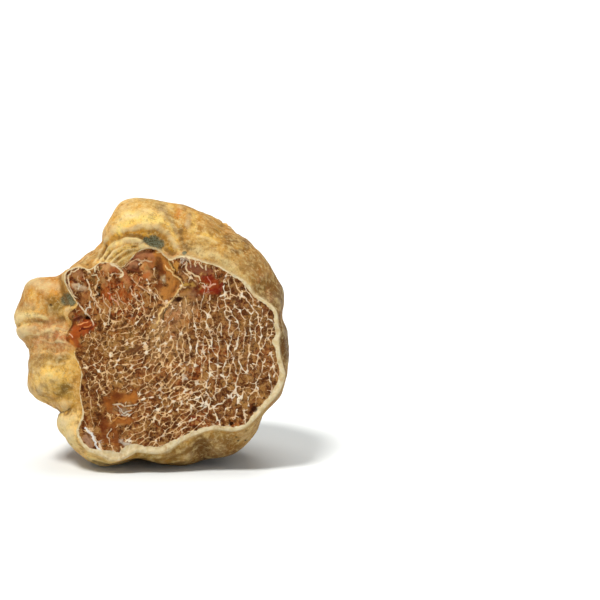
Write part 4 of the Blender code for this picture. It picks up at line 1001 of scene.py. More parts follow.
# Marks on the flesh: points (one for a round mark), half width, colour, share, how far it
# hides the vein net, and height.
FLESH_MARKS = [
    # torn plates and hollow under the top lobe
    ([(-2.9, 18.0), (-0.8, 18.3), (1.0, 18.0)], 1.0, (172, 118, 88), 0.9, 0.9, 0.1),
    ([(0.3, 16.5)], 1.1, (186, 120, 74), 0.85, 0.9, 0.0),
    ([(-2.7, 17.3), (-1.2, 17.0), (0.3, 16.8)], 0.25, (210, 172, 128), 0.85, 0.6, 0.2),
    # painted shadow: the dark brown marks on this line
    ([(-3.2, 15.8)], 0.75, (100, 44, 20), 0.9, 0.9, -0.5), ([(0.3, 14.9), (-0.6, 15.6)], 0.35, (112, 70, 26), 0.9, 0.8, -0.45),
    # the second mark on this line is painted shadow
    ([(-4.3, 17.0), (-3.0, 17.0)], 0.6, (128, 70, 54), 0.9, 1.0, -0.2), ([(-4.2, 15.5), (-2.6, 15.2)], 0.6, (104, 54, 34), 0.9, 1.0, -0.45),
    ([(-1.5, 15.4), (-0.4, 14.4), (0.0, 13.2)], 0.6, (206, 154, 112), 0.85, 0.9, 0.3), ([(-5.2, 14.6), (-4.6, 12.4)], 0.6, (186, 130, 94), 0.8, 0.7, 0.15),
    ([(-3.9, 16.3), (-3.0, 16.2)], 0.42, (194, 144, 112), 0.85, 0.8, 0.25),
    ([(-1.1, 15.4)], 0.65, (208, 164, 108), 0.85, 0.8, 0.25), ([(-0.95, 13.8)], 0.8, (188, 108, 60), 0.85, 0.7, 0.2),
    # painted shade in a dark pit
    ([(1.5, 15.6), (1.9, 14.6), (2.1, 13.6)], 0.5, (84, 40, 18), 0.92, 1.0, -0.7),
    ([(2.9, 13.9), (2.9, 12.9)], 0.45, (204, 188, 150), 0.85, 1.0, 0.1), ([(2.0, 11.2)], 1.0, (136, 78, 42), 0.8, 0.7, -0.3),
    ([(1.9, 18.5), (2.8, 16.7), (4.2, 14.9), (4.9, 13.1), (4.7, 11.5), (3.9, 10.0)], 1.25, (206, 142, 70), 0.94, 1.0, 0.1),
    # painted shade where a plate meets the flap
    ([(1.9, 17.6), (2.2, 16.0), (2.5, 14.4)], 0.55, (112, 64, 30), 0.9, 1.0, -0.45),
    ([(5.2, 12.6), (5.0, 11.2)], 0.45, (196, 122, 48), 0.6, 1.0, 0.0), ([(3.1, 9.1)], 0.7, (206, 146, 74), 0.85, 0.9, -0.1),
    ([(4.13, 17.0), (5.2, 14.9), (6.4, 13.4), (6.75, 12.2)], 0.14, (96, 52, 14), 0.9, 1.0, -0.35),
    ([(1.3, 18.9), (3.1, 18.0), (4.1, 16.6), (4.9, 15.1)], 0.2, (246, 200, 120), 0.95, 1.0, 0.25),
    ([(3.25, 15.9), (4.5, 14.9), (5.5, 13.8), (6.4, 12.95), (6.6, 11.7), (5.9, 10.7), (5.35, 9.45),
      (4.1, 8.4), (3.1, 7.7), (2.55, 7.0), (2.0, 4.9), (1.5, 3.7)], 0.22, (255, 212, 142), 0.95, 1.0, 0.3),
    ([(5.5, 15.8)], 0.6, (228, 164, 74), 0.9, 0.9, 0.1), ([(6.6, 15.2)], 0.6, (176, 126, 78), 0.7, 0.6, 0.0),
    ([(7.2, 11.9), (9.0, 12.1)], 0.45, (212, 166, 80), 0.85, 0.7, 0.1), ([(7.8, 10.5)], 1.0, (178, 122, 56), 0.8, 0.5, 0.0),
    # the second mark on this line is painted shade in a hole
    ([(8.85, 9.6)], 0.8, (166, 98, 46), 0.8, 0.6, -0.1), ([(5.6, 8.8), (6.4, 8.9)], 0.65, (78, 36, 14), 0.95, 1.0, -0.4),
    ([(5.4, 9.5), (6.2, 9.9), (7.0, 9.4)], 0.14, (238, 196, 140), 0.85, 1.0, 0.1),
    ([(2.4, 7.0), (1.7, 4.9), (0.6, 3.2)], 0.6, (216, 164, 88), 0.75, 0.8, -0.1),
    ([(3.6, 6.6), (2.7, 4.4)], 0.22, (104, 78, 40), 0.85, 0.9, -0.3),
    ([(7.2, 17.4), (8.2, 17.0)], 0.5, (222, 208, 180), 0.7, 0.4, 0.2),
    ([(16.0, 14.9), (17.2, 14.4), (18.4, 13.6)], 0.17, (62, 38, 18), 0.9, 1.0, -0.5),
    ([(11.6, 13.2), (12.8, 13.1), (13.8, 12.2), (13.8, 11.0)], 1.0, (136, 14, 8), 0.98, 0.6, -0.1),
    ([(11.0, 10.9), (12.8, 10.4)], 0.75, (150, 36, 20), 0.95, 0.2, 0.0), ([(9.9, 10.6)], 0.8, (98, 20, 8), 0.95, 0.5, -0.2),
    ([(10.9, 11.6), (12.2, 11.5), (13.6, 11.9)], 0.2, (236, 178, 148), 0.85, 0.8, 0.05),
    ([(12.3, 13.5), (12.8, 12.6), (12.5, 11.8)], 0.12, (226, 150, 124), 0.8, 0.8, 0.05),
    # rose cells right of the lip
    ([(8.5, 15.7), (10.4, 15.4), (12.0, 14.8)], 0.95, (140, 82, 58), 0.85, 0.75, -0.1),
    ([(8.2, 17.0), (8.6, 15.9)], 0.2, (240, 208, 164), 0.85, 0.8, 0.1), ([(9.5, 17.0), (9.7, 15.9)], 0.2, (240, 208, 164), 0.85, 0.8, 0.1),
    ([(10.7, 16.7), (10.9, 15.7)], 0.2, (240, 208, 164), 0.85, 0.8, 0.1), ([(11.9, 16.2), (12.0, 15.2)], 0.2, (240, 208, 164), 0.85, 0.8, 0.1),
    ([(7.6, 16.4), (7.7, 15.1), (8.8, 14.2), (10.2, 13.9), (10.7, 12.9)], 0.22, (242, 208, 160), 0.85, 0.8, 0.1),
    # folds of the upper left corner
    ([(-16.05, 9.45), (-18.0, 11.85), (-18.15, 14.1), (-17.25, 15.3), (-15.6, 15.9), (-13.95, 15.6), (-12.75, 14.7)],
     0.26, (250, 222, 168), 0.9, 0.9, 0.15),
    ([(-15.3, 14.5), (-14.6, 14.3)], 0.8, (166, 122, 92), 0.85, 0.8, 0.0),
    ([(-15.45, 9.3), (-17.1, 11.85), (-17.25, 13.65), (-16.5, 14.85), (-15.0, 15.3)], 0.17, (246, 214, 166), 0.85, 0.9, 0.1),
    ([(-17.65, 13.9), (-17.5, 12.15), (-16.3, 10.3)], 0.13, (142, 92, 60), 0.85, 1.0, -0.15),
    ([(-16.65, 11.4), (-15.75, 10.35)], 0.13, (110, 72, 52), 0.85, 1.0, -0.2),
    ([(-16.35, 13.6), (-15.9, 12.9), (-15.4, 12.6)], 0.3, (104, 50, 24), 0.9, 1.0, -0.3),
    ([(-14.6, 13.5), (-13.8, 12.7), (-13.3, 12.0)], 0.38, (150, 84, 50), 0.85, 0.9, -0.1),
    ([(-15.3, 14.1), (-15.0, 13.2)], 0.14, (224, 176, 130), 0.8, 0.9, 0.1), ([(-14.3, 14.0), (-13.9, 13.2)], 0.14, (224, 176, 130), 0.8, 0.9, 0.1),
    ([(-16.0, 11.7)], 0.6, (208, 192, 172), 0.85, 1.0, 0.05), ([(-14.3, 11.3)], 0.72, (214, 200, 180), 0.85, 1.0, 0.1),
    ([(-15.05, 12.4), (-15.1, 10.9)], 0.14, (236, 216, 186), 0.8, 1.0, 0.15), ([(-13.9, 9.1)], 1.2, (160, 112, 72), 0.7, 0.7, 0.0),
    ([(-13.2, 13.05), (-12.3, 10.65), (-12.15, 9.3), (-10.8, 7.5), (-10.5, 6.45)], 0.18, (246, 216, 176), 0.9, 0.6, 0.15),
    ([(-15.45, 7.95), (-13.95, 6.45), (-12.45, 4.95), (-12.0, 3.6)], 0.18, (246, 216, 176), 0.9, 0.6, 0.15),
    ([(-12.9, 8.4), (-12.3, 7.35), (-13.35, 6.75), (-13.65, 5.85)], 0.18, (248, 228, 200), 0.85, 0.6, 0.1),
    ([(-12.9, 6.0)], 0.5, (126, 72, 46), 0.8, 0.8, -0.1),
    ([(-12.45, 14.25), (-11.4, 14.25), (-10.8, 12.9), (-11.1, 11.55)], 0.16, (232, 210, 166), 0.85, 0.9, 0.1),
    ([(-11.85, 13.2), (-11.7, 12.2)], 0.5, (112, 86, 50), 0.85, 0.9, -0.2),
    # painted shade in a thin slit
    ([(-10.5, 11.5), (-10.7, 10.6), (-10.8, 9.9)], 0.2, (46, 30, 14), 0.95, 1.0, -0.6),
    ([(-9.9, 13.1), (-9.4, 12.0)], 0.6, (172, 150, 114), 0.75, 0.8, 0.0),
    ([(-9.4, 15.6), (-8.6, 15.8)], 0.85, (216, 176, 130), 0.85, 0.9, 0.1), ([(-8.0, 15.2), (-7.0, 14.9)], 0.42, (172, 100, 60), 0.85, 0.9, 0.0),
    ([(-9.9, 15.75), (-10.6, 15.2)], 0.26, (134, 102, 38), 0.85, 0.9, -0.3),
    ([(-11.7, 14.85), (-11.7, 16.05), (-10.5, 16.65), (-8.7, 16.6), (-6.9, 15.75), (-5.85, 14.7), (-6.0, 13.5)],
     0.24, (252, 228, 184), 0.9, 0.9, 0.2),
    ([(-8.4, 14.1), (-7.2, 14.4), (-6.0, 14.2)], 0.15, (236, 206, 166), 0.85, 0.8, 0.1),
    ([(-7.5, 12.4)], 1.0, (150, 82, 34), 0.75, 0.4, -0.1), ([(-5.7, 10.35)], 1.1, (160, 90, 38), 0.7, 0.3, -0.1),
    ([(-9.3, 10.35)], 0.9, (152, 84, 32), 0.75, 0.4, 0.0), ([(-8.4, 9.9), (-8.4, 8.8)], 0.3, (196, 84, 38), 0.8, 0.6, 0.0),
    ([(-5.2, 12.2), (-4.9, 11.4)], 0.6, (200, 156, 104), 0.75, 0.5, 0.15),
    ([(-8.7, 10.5), (-8.1, 9.15), (-7.05, 8.4), (-6.8, 7.6)], 0.15, (240, 180, 150), 0.85, 0.6, 0.1),
    ([(-8.55, 7.35), (-8.55, 5.4), (-8.7, 3.45)], 0.16, (246, 214, 172), 0.85, 0.5, 0.1),
    # amber piece, with painted shade in the hollow and hole at the left edge
    ([(-16.6, 3.4), (-15.6, 4.6), (-14.2, 5.2)], 0.75, (92, 28, 12), 0.95, 1.0, -0.6),
    ([(-13.4, 5.0), (-12.9, 4.8)], 0.38, (24, 10, 6), 0.95, 1.0, -0.9), ([(-16.1, 4.9), (-15.2, 5.4)], 0.18, (186, 110, 70), 0.8, 1.0, 0.1),
    ([(-16.1, 1.2), (-15.2, 2.2), (-13.8, 3.3), (-12.4, 3.4)], 1.2, (178, 72, 24), 0.96, 1.0, 0.3), ([(-16.3, 0.4), (-15.4, -0.1)], 0.8, (160, 62, 22), 0.92, 1.0, 0.0),
    ([(-14.9, 2.3), (-13.5, 2.9), (-12.3, 3.0)], 0.3, (116, 38, 14), 0.85, 1.0, -0.15),
    ([(-15.2, 3.2), (-14.0, 4.1), (-12.9, 4.4)], 0.13, (246, 160, 92), 0.8, 1.0, 0.12),
    ([(-14.7, 2.7), (-13.6, 3.4), (-12.4, 3.5)], 0.1, (244, 150, 80), 0.75, 1.0, 0.1),
    ([(-17.5, 0.8)], 0.55, (142, 46, 16), 0.9, 1.0, -0.1), ([(-16.7, 0.3), (-16.3, -0.6), (-16.1, -1.5)], 0.42, (220, 124, 42), 0.9, 1.0, 0.1),
    ([(-16.9, 1.9), (-16.2, 1.1)], 0.15, (240, 190, 150), 0.8, 1.0, 0.1),
    # glassy patches at the lower left
    ([(-7.7, -11.7), (-5.6, -11.8), (-3.5, -11.8)], 1.0, (182, 110, 44), 0.97, 1.0, -0.05),
    ([(-7.4, -11.5), (-6.4, -11.3)], 0.7, (122, 56, 18), 0.9, 1.0, -0.1), ([(-3.9, -11.5)], 0.5, (214, 134, 52), 0.7, 1.0, 0.0),
    ([(-9.3, -12.0), (-8.7, -13.2), (-8.4, -14.3)], 0.65, (158, 88, 34), 0.9, 0.9, 0.0),
    ([(-7.4, -14.6)], 0.6, (178, 136, 88), 0.6, 0.4, 0.0), ([(-5.2, -14.6)], 0.9, (150, 128, 104), 0.8, 0.9, 0.0),
    ([(-7.7, -13.1), (-5.25, -13.5), (-2.8, -12.9)], 0.18, (226, 202, 168), 0.9, 1.0, 0.12),
    ([(-6.8, -13.8), (-5.4, -14.9), (-4.0, -14.2)], 0.16, (214, 198, 176), 0.85, 1.0, 0.1),
    ([(-6.0, -15.3), (-4.6, -15.2)], 0.2, (236, 220, 196), 0.75, 1.0, 0.1),
    ([(-9.6, -16.9), (-9.9, -18.6), (-9.5, -20.6)], 0.85, (116, 52, 20), 0.95, 1.0, -0.1),
    ([(-6.8, -16.6), (-4.6, -16.7)], 0.75, (176, 104, 44), 0.97, 1.0, 0.0), ([(-7.7, -18.0), (-7.2, -19.4), (-7.0, -21.8)], 0.55, (152, 88, 40), 0.9, 0.9, 0.0),
    ([(-5.9, 15.4), (-4.4, 16.7), (-2.4, 17.4)], 0.14, (226, 178, 128), 0.8, 1.0, 0.14),
    ([(-3.8, 13.6), (-2.5, 11.6), (-0.7, 10.9), (0.7, 9.5)], 0.15, (228, 182, 138), 0.8, 1.0, 0.14),
    ([(-10.1, 9.9), (-9.5, 8.4), (-8.4, 7.0)], 0.12, (230, 192, 150), 0.85, 1.0, 0.1),
    ([(-7.0, 10.6), (-6.6, 8.8), (-4.9, 7.7)], 0.13, (226, 184, 140), 0.8, 1.0, 0.12),
    ([(-4.2, 11.9), (-3.5, 9.8), (-2.1, 8.4), (-1.4, 6.7)], 0.15, (232, 192, 150), 0.85, 1.0, 0.14),
    ([(0.7, 11.2), (1.8, 9.5), (2.8, 8.1)], 0.14, (226, 178, 120), 0.8, 1.0, 0.12),
    ([(-8.3, -17.4), (-6.9, -16.0), (-4.9, -15.9)], 0.18, (212, 148, 76), 0.85, 1.0, 0.1),
    ([(-8.2, -18.4), (-9.0, -19.6), (-8.6, -21.4)], 0.14, (224, 200, 164), 0.85, 1.0, 0.1),
    ([(-6.1, -20.8), (-5.3, -21.4), (-4.2, -21.6)], 0.4, (232, 214, 190), 0.85, 0.9, 0.1),
    ([(-13.6, -20.3), (-12.3, -22.2)], 0.7, (186, 142, 112), 0.8, 0.5, 0.0),
    ([(-13.4, -18.0), (-12.4, -19.6), (-11.2, -21.6), (-9.8, -23.6)], 0.3, (253, 248, 240), 0.95, 0.9, 0.15),
    # broad tones
    ([(2.5, 4.6), (7.5, 6.4)], 3.0, (210, 164, 116), 0.5, 0.1, 0.0), ([(-1.0, -1.5), (6.0, -1.0)], 3.2, (198, 152, 106), 0.32, 0.0, 0.0),
    ([(18.5, 8.0), (22.5, 1.0)], 3.6, (112, 74, 50), 0.34, 0.0, 0.0), ([(20.0, -10.0), (12.0, -14.0)], 2.6, (118, 74, 50), 0.3, 0.0, 0.0),
    ([(-12.0, -3.0), (-11.5, -8.0)], 2.6, (132, 82, 34), 0.4, 0.0, 0.0), ([(-9.0, 8.5), (-4.0, 9.5)], 2.4, (176, 96, 40), 0.4, 0.1, 0.0),
    ([(-5.5, 0.0), (-6.5, -6.0)], 2.4, (176, 126, 66), 0.35, 0.0, 0.0),
    # here and there
    ([(-4.7, -2.0), (-3.2, -1.7), (-1.9, -1.2)], 0.42, (104, 56, 26), 0.85, 0.9, -0.2),
    ([(-4.9, -1.3)], 0.45, (190, 150, 80), 0.75, 0.6, 0.0), ([(15.0, -15.7)], 0.8, (118, 74, 58), 0.6, 0.1, -0.1),
    ([(17.15, -16.9)], 0.55, (196, 118, 56), 0.85, 0.9, 0.0), ([(21.7, -14.3)], 0.8, (122, 54, 18), 0.85, 0.9, -0.2),
    ([(9.4, -15.7)], 0.7, (134, 52, 34), 0.7, 0.1, 0.0), ([(7.6, -4.4)], 0.5, (196, 170, 140), 0.6, 0.3, 0.0),
    ([(24.0, 6.2)], 0.8, (120, 76, 48), 0.6, 0.1, 0.0), ([(18.6, 8.6)], 0.6, (120, 54, 34), 0.6, 0.1, 0.0),
    ([(5.5, 6.3)], 1.3, (204, 156, 110), 0.5, 0.2, 0.0), ([(9.0, 6.8)], 1.6, (204, 152, 98), 0.5, 0.1, 0.0),
]
# The narrow ones are drawn as lines over the vein net, and the rest as patches below it.
DRAWN = [mark for mark in FLESH_MARKS if len(mark[0]) > 1 and mark[1] < 0.34]
# Width of the pale skin section round the cut face, by turn in degrees.
BAND = [(0, 1.05), (20, 0.85), (35, 0.42), (50, 0.26), (65, 0.36), (80, 0.2), (100, 0.12), (120, 0.16),
        (138, 0.3), (150, 0.2), (158, -0.2), (164, -0.5), (180, -0.5), (187, 0.0), (200, 0.1), (215, 0.14), (225, 0.3), (236, 0.45), (243, 1.2),
        (250, 2.0), (258, 1.8), (267, 1.4), (278, 1.15), (290, 0.95), (305, 0.8), (320, 0.9), (340, 1.1), (360, 1.05)]
# White fuzz on the flesh: u, v, radius.
FUZZ = [(7.3, -7.7, 1.3), (6.9, -4.6, 0.8), (-5.0, -21.3, 1.0), (-6.4, -14.4, 1.1), (6.9, 16.8, 1.2),
        (-14.9, 11.6, 0.9), (2.9, 13.0, 0.6), (-3.6, 5.4, 0.7), (-10.6, -21.4, 0.9), (0.9, 3.6, 0.6),
        (12.0, 10.0, 0.9), (-1.6, 3.9, 0.6)]
# Holes in the flesh: u, v, radius, depth.
HOLES = [(17.1, -17.2, 0.5, 1.1), (21.9, -14.2, 0.75, 1.0), (6.0, 8.9, 0.6, 0.6), (-13.2, 4.95, 0.42, 0.9),
         (21.2, -14.9, 0.4, 0.7)]
LIP = [(2.4, 18.9), (3.2, 18.0), (4.6, 16.6), (5.4, 15.2), (6.3, 13.6), (6.5, 12.0), (5.2, 9.9), (3.8, 8.0)]


def blend_tints(u, v, table, base, base_share):
    total = np.full(len(u), base_share)
    colour = base * base_share
    for a, b, radius, c, share in table:
        weight = share * np.exp(-(((u - a) ** 2 + (v - b) ** 2) / radius**2) ** 1.3)
        colour = colour + weight[:, None] * rgb(*c)
        total = total + weight
    return colour / total[:, None]


def draw_marks(u, v, colour, marks, amount):
    """Lays each mark over what is there, softly at its edges."""
    for points, width, tone, share in marks:
        d = np.hypot(u - points[0][0], v - points[0][1]) if len(points) == 1 else distance_to_line(u, v, points)
        k = (share * amount * np.exp(-((d / width) ** 2.6)))[:, None]
        colour = colour * (1 - k) + rgb(*tone) * k
    return colour


def inside_outline(u, v, outline):
    """Distance in from a closed outline, negative outside."""
    q = outline + outline[:1]
    d = distance_to_line(u, v, q)
    inside = np.zeros(len(u), bool)
    for (ax, ay), (bx, by) in zip(q[:-1], q[1:]):
        cross = (ay > v) != (by > v)
        with np.errstate(divide="ignore", invalid="ignore"):
            x = (bx - ax) * (v - ay) / (by - ay) + ax
        inside ^= cross & (u < x)
    return np.where(inside, d, -d)


# ---------------------------------------------------------------- the truffle's mesh
def vertex_normals(p, faces):
    n = np.zeros_like(p)
    for corners in faces:
        a, b, c = p[corners[:, 0]], p[corners[:, 1]], p[corners[:, -1]]
        face = np.cross(b - a, c - a)
        for k in range(corners.shape[1]):
            for axis in range(3):
                n[:, axis] += np.bincount(corners[:, k], face[:, axis], minlength=len(p))
    return n / np.maximum(np.linalg.norm(n, axis=1), 1e-12)[:, None]


def relax(values, quads, count, times):
    """Averages values over neighbours along the quads' sides."""
    a = np.concatenate([quads[:, 0], quads[:, 1], quads[:, 2], quads[:, 3]])
    b = np.concatenate([quads[:, 1], quads[:, 2], quads[:, 3], quads[:, 0]])
    degree = np.bincount(a, minlength=count) + np.bincount(b, minlength=count)
    degree = np.maximum(degree, 1)
    for _ in range(times):
        total = np.bincount(a, values[b], minlength=count) + np.bincount(b, values[a], minlength=count)
        values = total / degree
    return values


def skin_detail(p, n):
    """The fine relief of the skin along its normals, and what its finish needs."""
    u, v, w = p.T
    theta = np.arctan2(v, u)
    gap = np.hypot(np.hypot(u, v) - cut_radius(theta), w)
    rim = smooth_step(0.0, 1.1, gap)
    near = smooth_step(17.0, 9.0, w)
    rise = np.zeros(len(p))
    # crest: the small folds' height, used for their painted highlight and painted shade
    crest = np.zeros(len(p))
    for line, width, height in SMALL_FOLDS:
        bump = height * np.exp(-((distance_to_line(u, v, line) / width) ** 2))
        rise += near * bump
        crest += near * bump * (1.0 if width < 0.6 else 0.3)
    left = near * np.exp(-(((u + 21.0) / 6.0) ** 2 + ((v + 3.0) / 11.0) ** 2))
    rise += left * (0.42 * fractal(p, 3.4, 55, 3) + 0.12 * fractal(p, 1.2, 56, 2))
    for a, b, radius, height in SMALL_LUMPS:
        rise += near * height * np.exp(-((u - a) ** 2 + (v - b) ** 2) / radius**2)
    away = 1 - near
    # creases that come and go between soft cushions
    warp = p + 1.3 * np.stack([noise(p, 3.6, 31), noise(p, 3.6, 32), noise(p, 3.6, 33)], 1)
    f1, f2 = cells(warp, 7.5, 41)
    some = smooth_step(-0.25, 0.45, noise(p, 9.0, 34))
    rise -= (0.75 * away + 0.12 * near) * some * np.exp(-(((f2 - f1) / 0.10) ** 2))
    f1, f2 = cells(warp * 1.0 + 3.3, 3.6, 42)
    some = smooth_step(-0.1, 0.6, noise(p, 7.0, 35))
    rise -= (0.28 * away + 0.07 * near) * some * np.exp(-(((f2 - f1) / 0.12) ** 2))
    rise += (0.30 * away + 0.10 * near) * fractal(p, 4.2, 51, 3)
    rise += 0.12 * fractal(p, 1.5, 52, 3) + 0.03 * near * fractal(p, 0.8, 53, 2)
    # pits
    f1, _ = cells(p, 2.9, 43)
    pit = smooth_step(0.16, 0.05, f1) * smooth_step(0.05, 0.5, noise(p, 6.0, 36))
    rise -= 0.22 * pit
    return rise * rim, pit * rim, gap, near, crest


def skin_tint(p, near):
    """The skin's colour before its fine mottling."""
    warp = p + 0.9 * np.stack([noise(p, 2.4, 61), noise(p, 2.4, 62), noise(p, 2.4, 63)], 1)
    u, v, w = warp.T
    broad = fractal(p, 9.0, 71, 3)
    blotch = fractal(p, 4.0, 72, 4)
    tan, cream, grey = rgb(205, 162, 92), rgb(236, 198, 124), rgb(178, 148, 98)
    brown, rose, gold = rgb(150, 110, 60), rgb(204, 156, 108), rgb(208, 160, 72)
    c = np.repeat(tan[None, :], len(p), 0)
    for colour, field, low, high in (
        (gold, broad, 0.0, 0.4), (rose, -broad, 0.05, 0.45), (cream, blotch, 0.08, 0.5),
        (grey, fractal(p, 6.0, 73, 3), 0.1, 0.5), (brown, -blotch, 0.16, 0.55),
    ):
        share = (0.8 * smooth_step(low, high, field))[:, None]
        c = c * (1 - share) + colour * share
    placed = blend_tints(u, v, SKIN_TINTS, c, 0.22)
    fu = p[:, 0] + 0.45 * noise(p, 1.3, 64) + 0.22 * noise(p, 0.55, 65)
    fv = p[:, 1] + 0.45 * noise(p, 1.3, 66) + 0.22 * noise(p, 0.55, 67)
    placed = draw_marks(fu, fv, placed, SKIN_MARKS, 0.9 + 0.35 * noise(p, 0.9, 68))
    k = near[:, None]
    c = c * (1 - k) + placed * k
    middle = np.array((0.58, 0.36, 0.125))
    c = middle * (c / middle) ** 1.35
    # painted light and shade: lighter towards the left, where the light comes from, and darker towards the right
    west, east = smooth_step(2.0, -12.0, p[:, 0]), smooth_step(10.0, 24.0, p[:, 0])
    c = c * (1 + west[:, None] * np.array((0.07, 0.05, 0.0)) - east[:, None] * np.array((0.15, 0.23, 0.36)))
    c = np.minimum(c * np.array((1.06, 0.975, 0.84)), 1.08)
    c[:, 1] = np.minimum(c[:, 1], 0.77 * c[:, 0])  # the palest skin is cream, not green
    return c


def bent_flat(u, v):
    """Slightly bent coordinates, so that marks have uneven edges."""
    p = flat(u, v)
    return (u + 0.16 * noise(p, 0.7, 98) + 0.08 * noise(p, 0.4, 99), v + 0.16 * noise(p, 0.7, 100) + 0.08 * noise(p, 0.4, 101))


def drawn_line(points, step):
    """A drawn line's points, bent a little so that it doesn't run too evenly."""
    line = sample_line(points, step)[:, :2]
    p = flat(line[:, 0], line[:, 1])
    line[:, 0] += 0.30 * noise(p, 1.1, 104) + 0.14 * noise(p, 0.5, 105)
    line[:, 1] += 0.30 * noise(p, 1.1, 106) + 0.14 * noise(p, 0.5, 107)
    return line


def flesh_relief(u, v, rim, vein_d, vein_w, cell):
    """Height of the cut flesh out of the cut plane."""
    p = flat(u, v)
    edge = smooth_step(0.0, 0.5, rim)
    own = lattice(cell.astype(np.int64), cell.astype(np.int64) * 7 + 3, cell.astype(np.int64) * 0 + 5, 9)
    open_ = smooth_step(0.05, 0.5, vein_d)
    h = 0.07 * np.exp(-((vein_d / (vein_w + 0.06)) ** 2)) - open_ * (0.075 + 0.06 * own)
    h += 0.16 * fractal(p, 7.0, 81, 2) + 0.06 * fractal(p, 1.1, 82, 2) + 0.03 * fractal(p, 0.5, 83, 1)
    # the band of skin section stands a little proud, with a rounded edge
    angles, widths = zip(*BAND)
    width = np.interp((np.degrees(np.arctan2(v, u)) + 360) % 360, angles, widths)
    h += 0.17 * width * np.exp(-(((rim - 0.42) / 0.32) ** 2))
    # the torn hollow left of the lip, under the top lobe
    lip = np.array(sorted(LIP, key=lambda q: q[1]))
    lip_u = np.interp(v, lip[:, 1], lip[:, 0])
    s = lip_u - u
    window = smooth_step(6.5, 10.5, v)
    torn = window * smooth_step(-0.05, 0.5, s) * np.exp(-np.maximum(s, 0) / 5.0)
    h -= 1.45 * torn
    h += 0.3 * window * np.exp(-((s / 0.35) ** 2))
    rough = np.exp(-(((u + 3.0) / 8.0) ** 2 + ((v - 11.5) / 6.5) ** 2))
    h += rough * (0.5 * fractal(p, 2.2, 84, 3) + 0.12 * fractal(p, 0.7, 85, 2))
    for a, b, radius, depth in HOLES:
        q = ((u - a) ** 2 + (v - b) ** 2) / (radius * (1 + 0.3 * noise(p, 0.6, 86))) ** 2
        h -= depth * np.exp(-(q**1.5))
    fu, fv = bent_flat(u, v)
    for points, width, _, _, hold, height in FLESH_MARKS:
        if len(points) > 1 and width < 0.34:
            d = distance_to_line(u, v, [tuple(c) for c in drawn_line(points, 0.18)])
            h += 0.8 * height * np.exp(-((d / (width + 0.05)) ** 2))
            continue
        d = np.hypot(fu - points[0][0], fv - points[0][1]) if len(points) == 1 else distance_to_line(fu, fv, points)
        k = np.exp(-((d / width) ** 2))
        h = h * (1 - 0.3 * hold * k) + height * k
    return np.clip(h, -2.6, 0.6) * edge


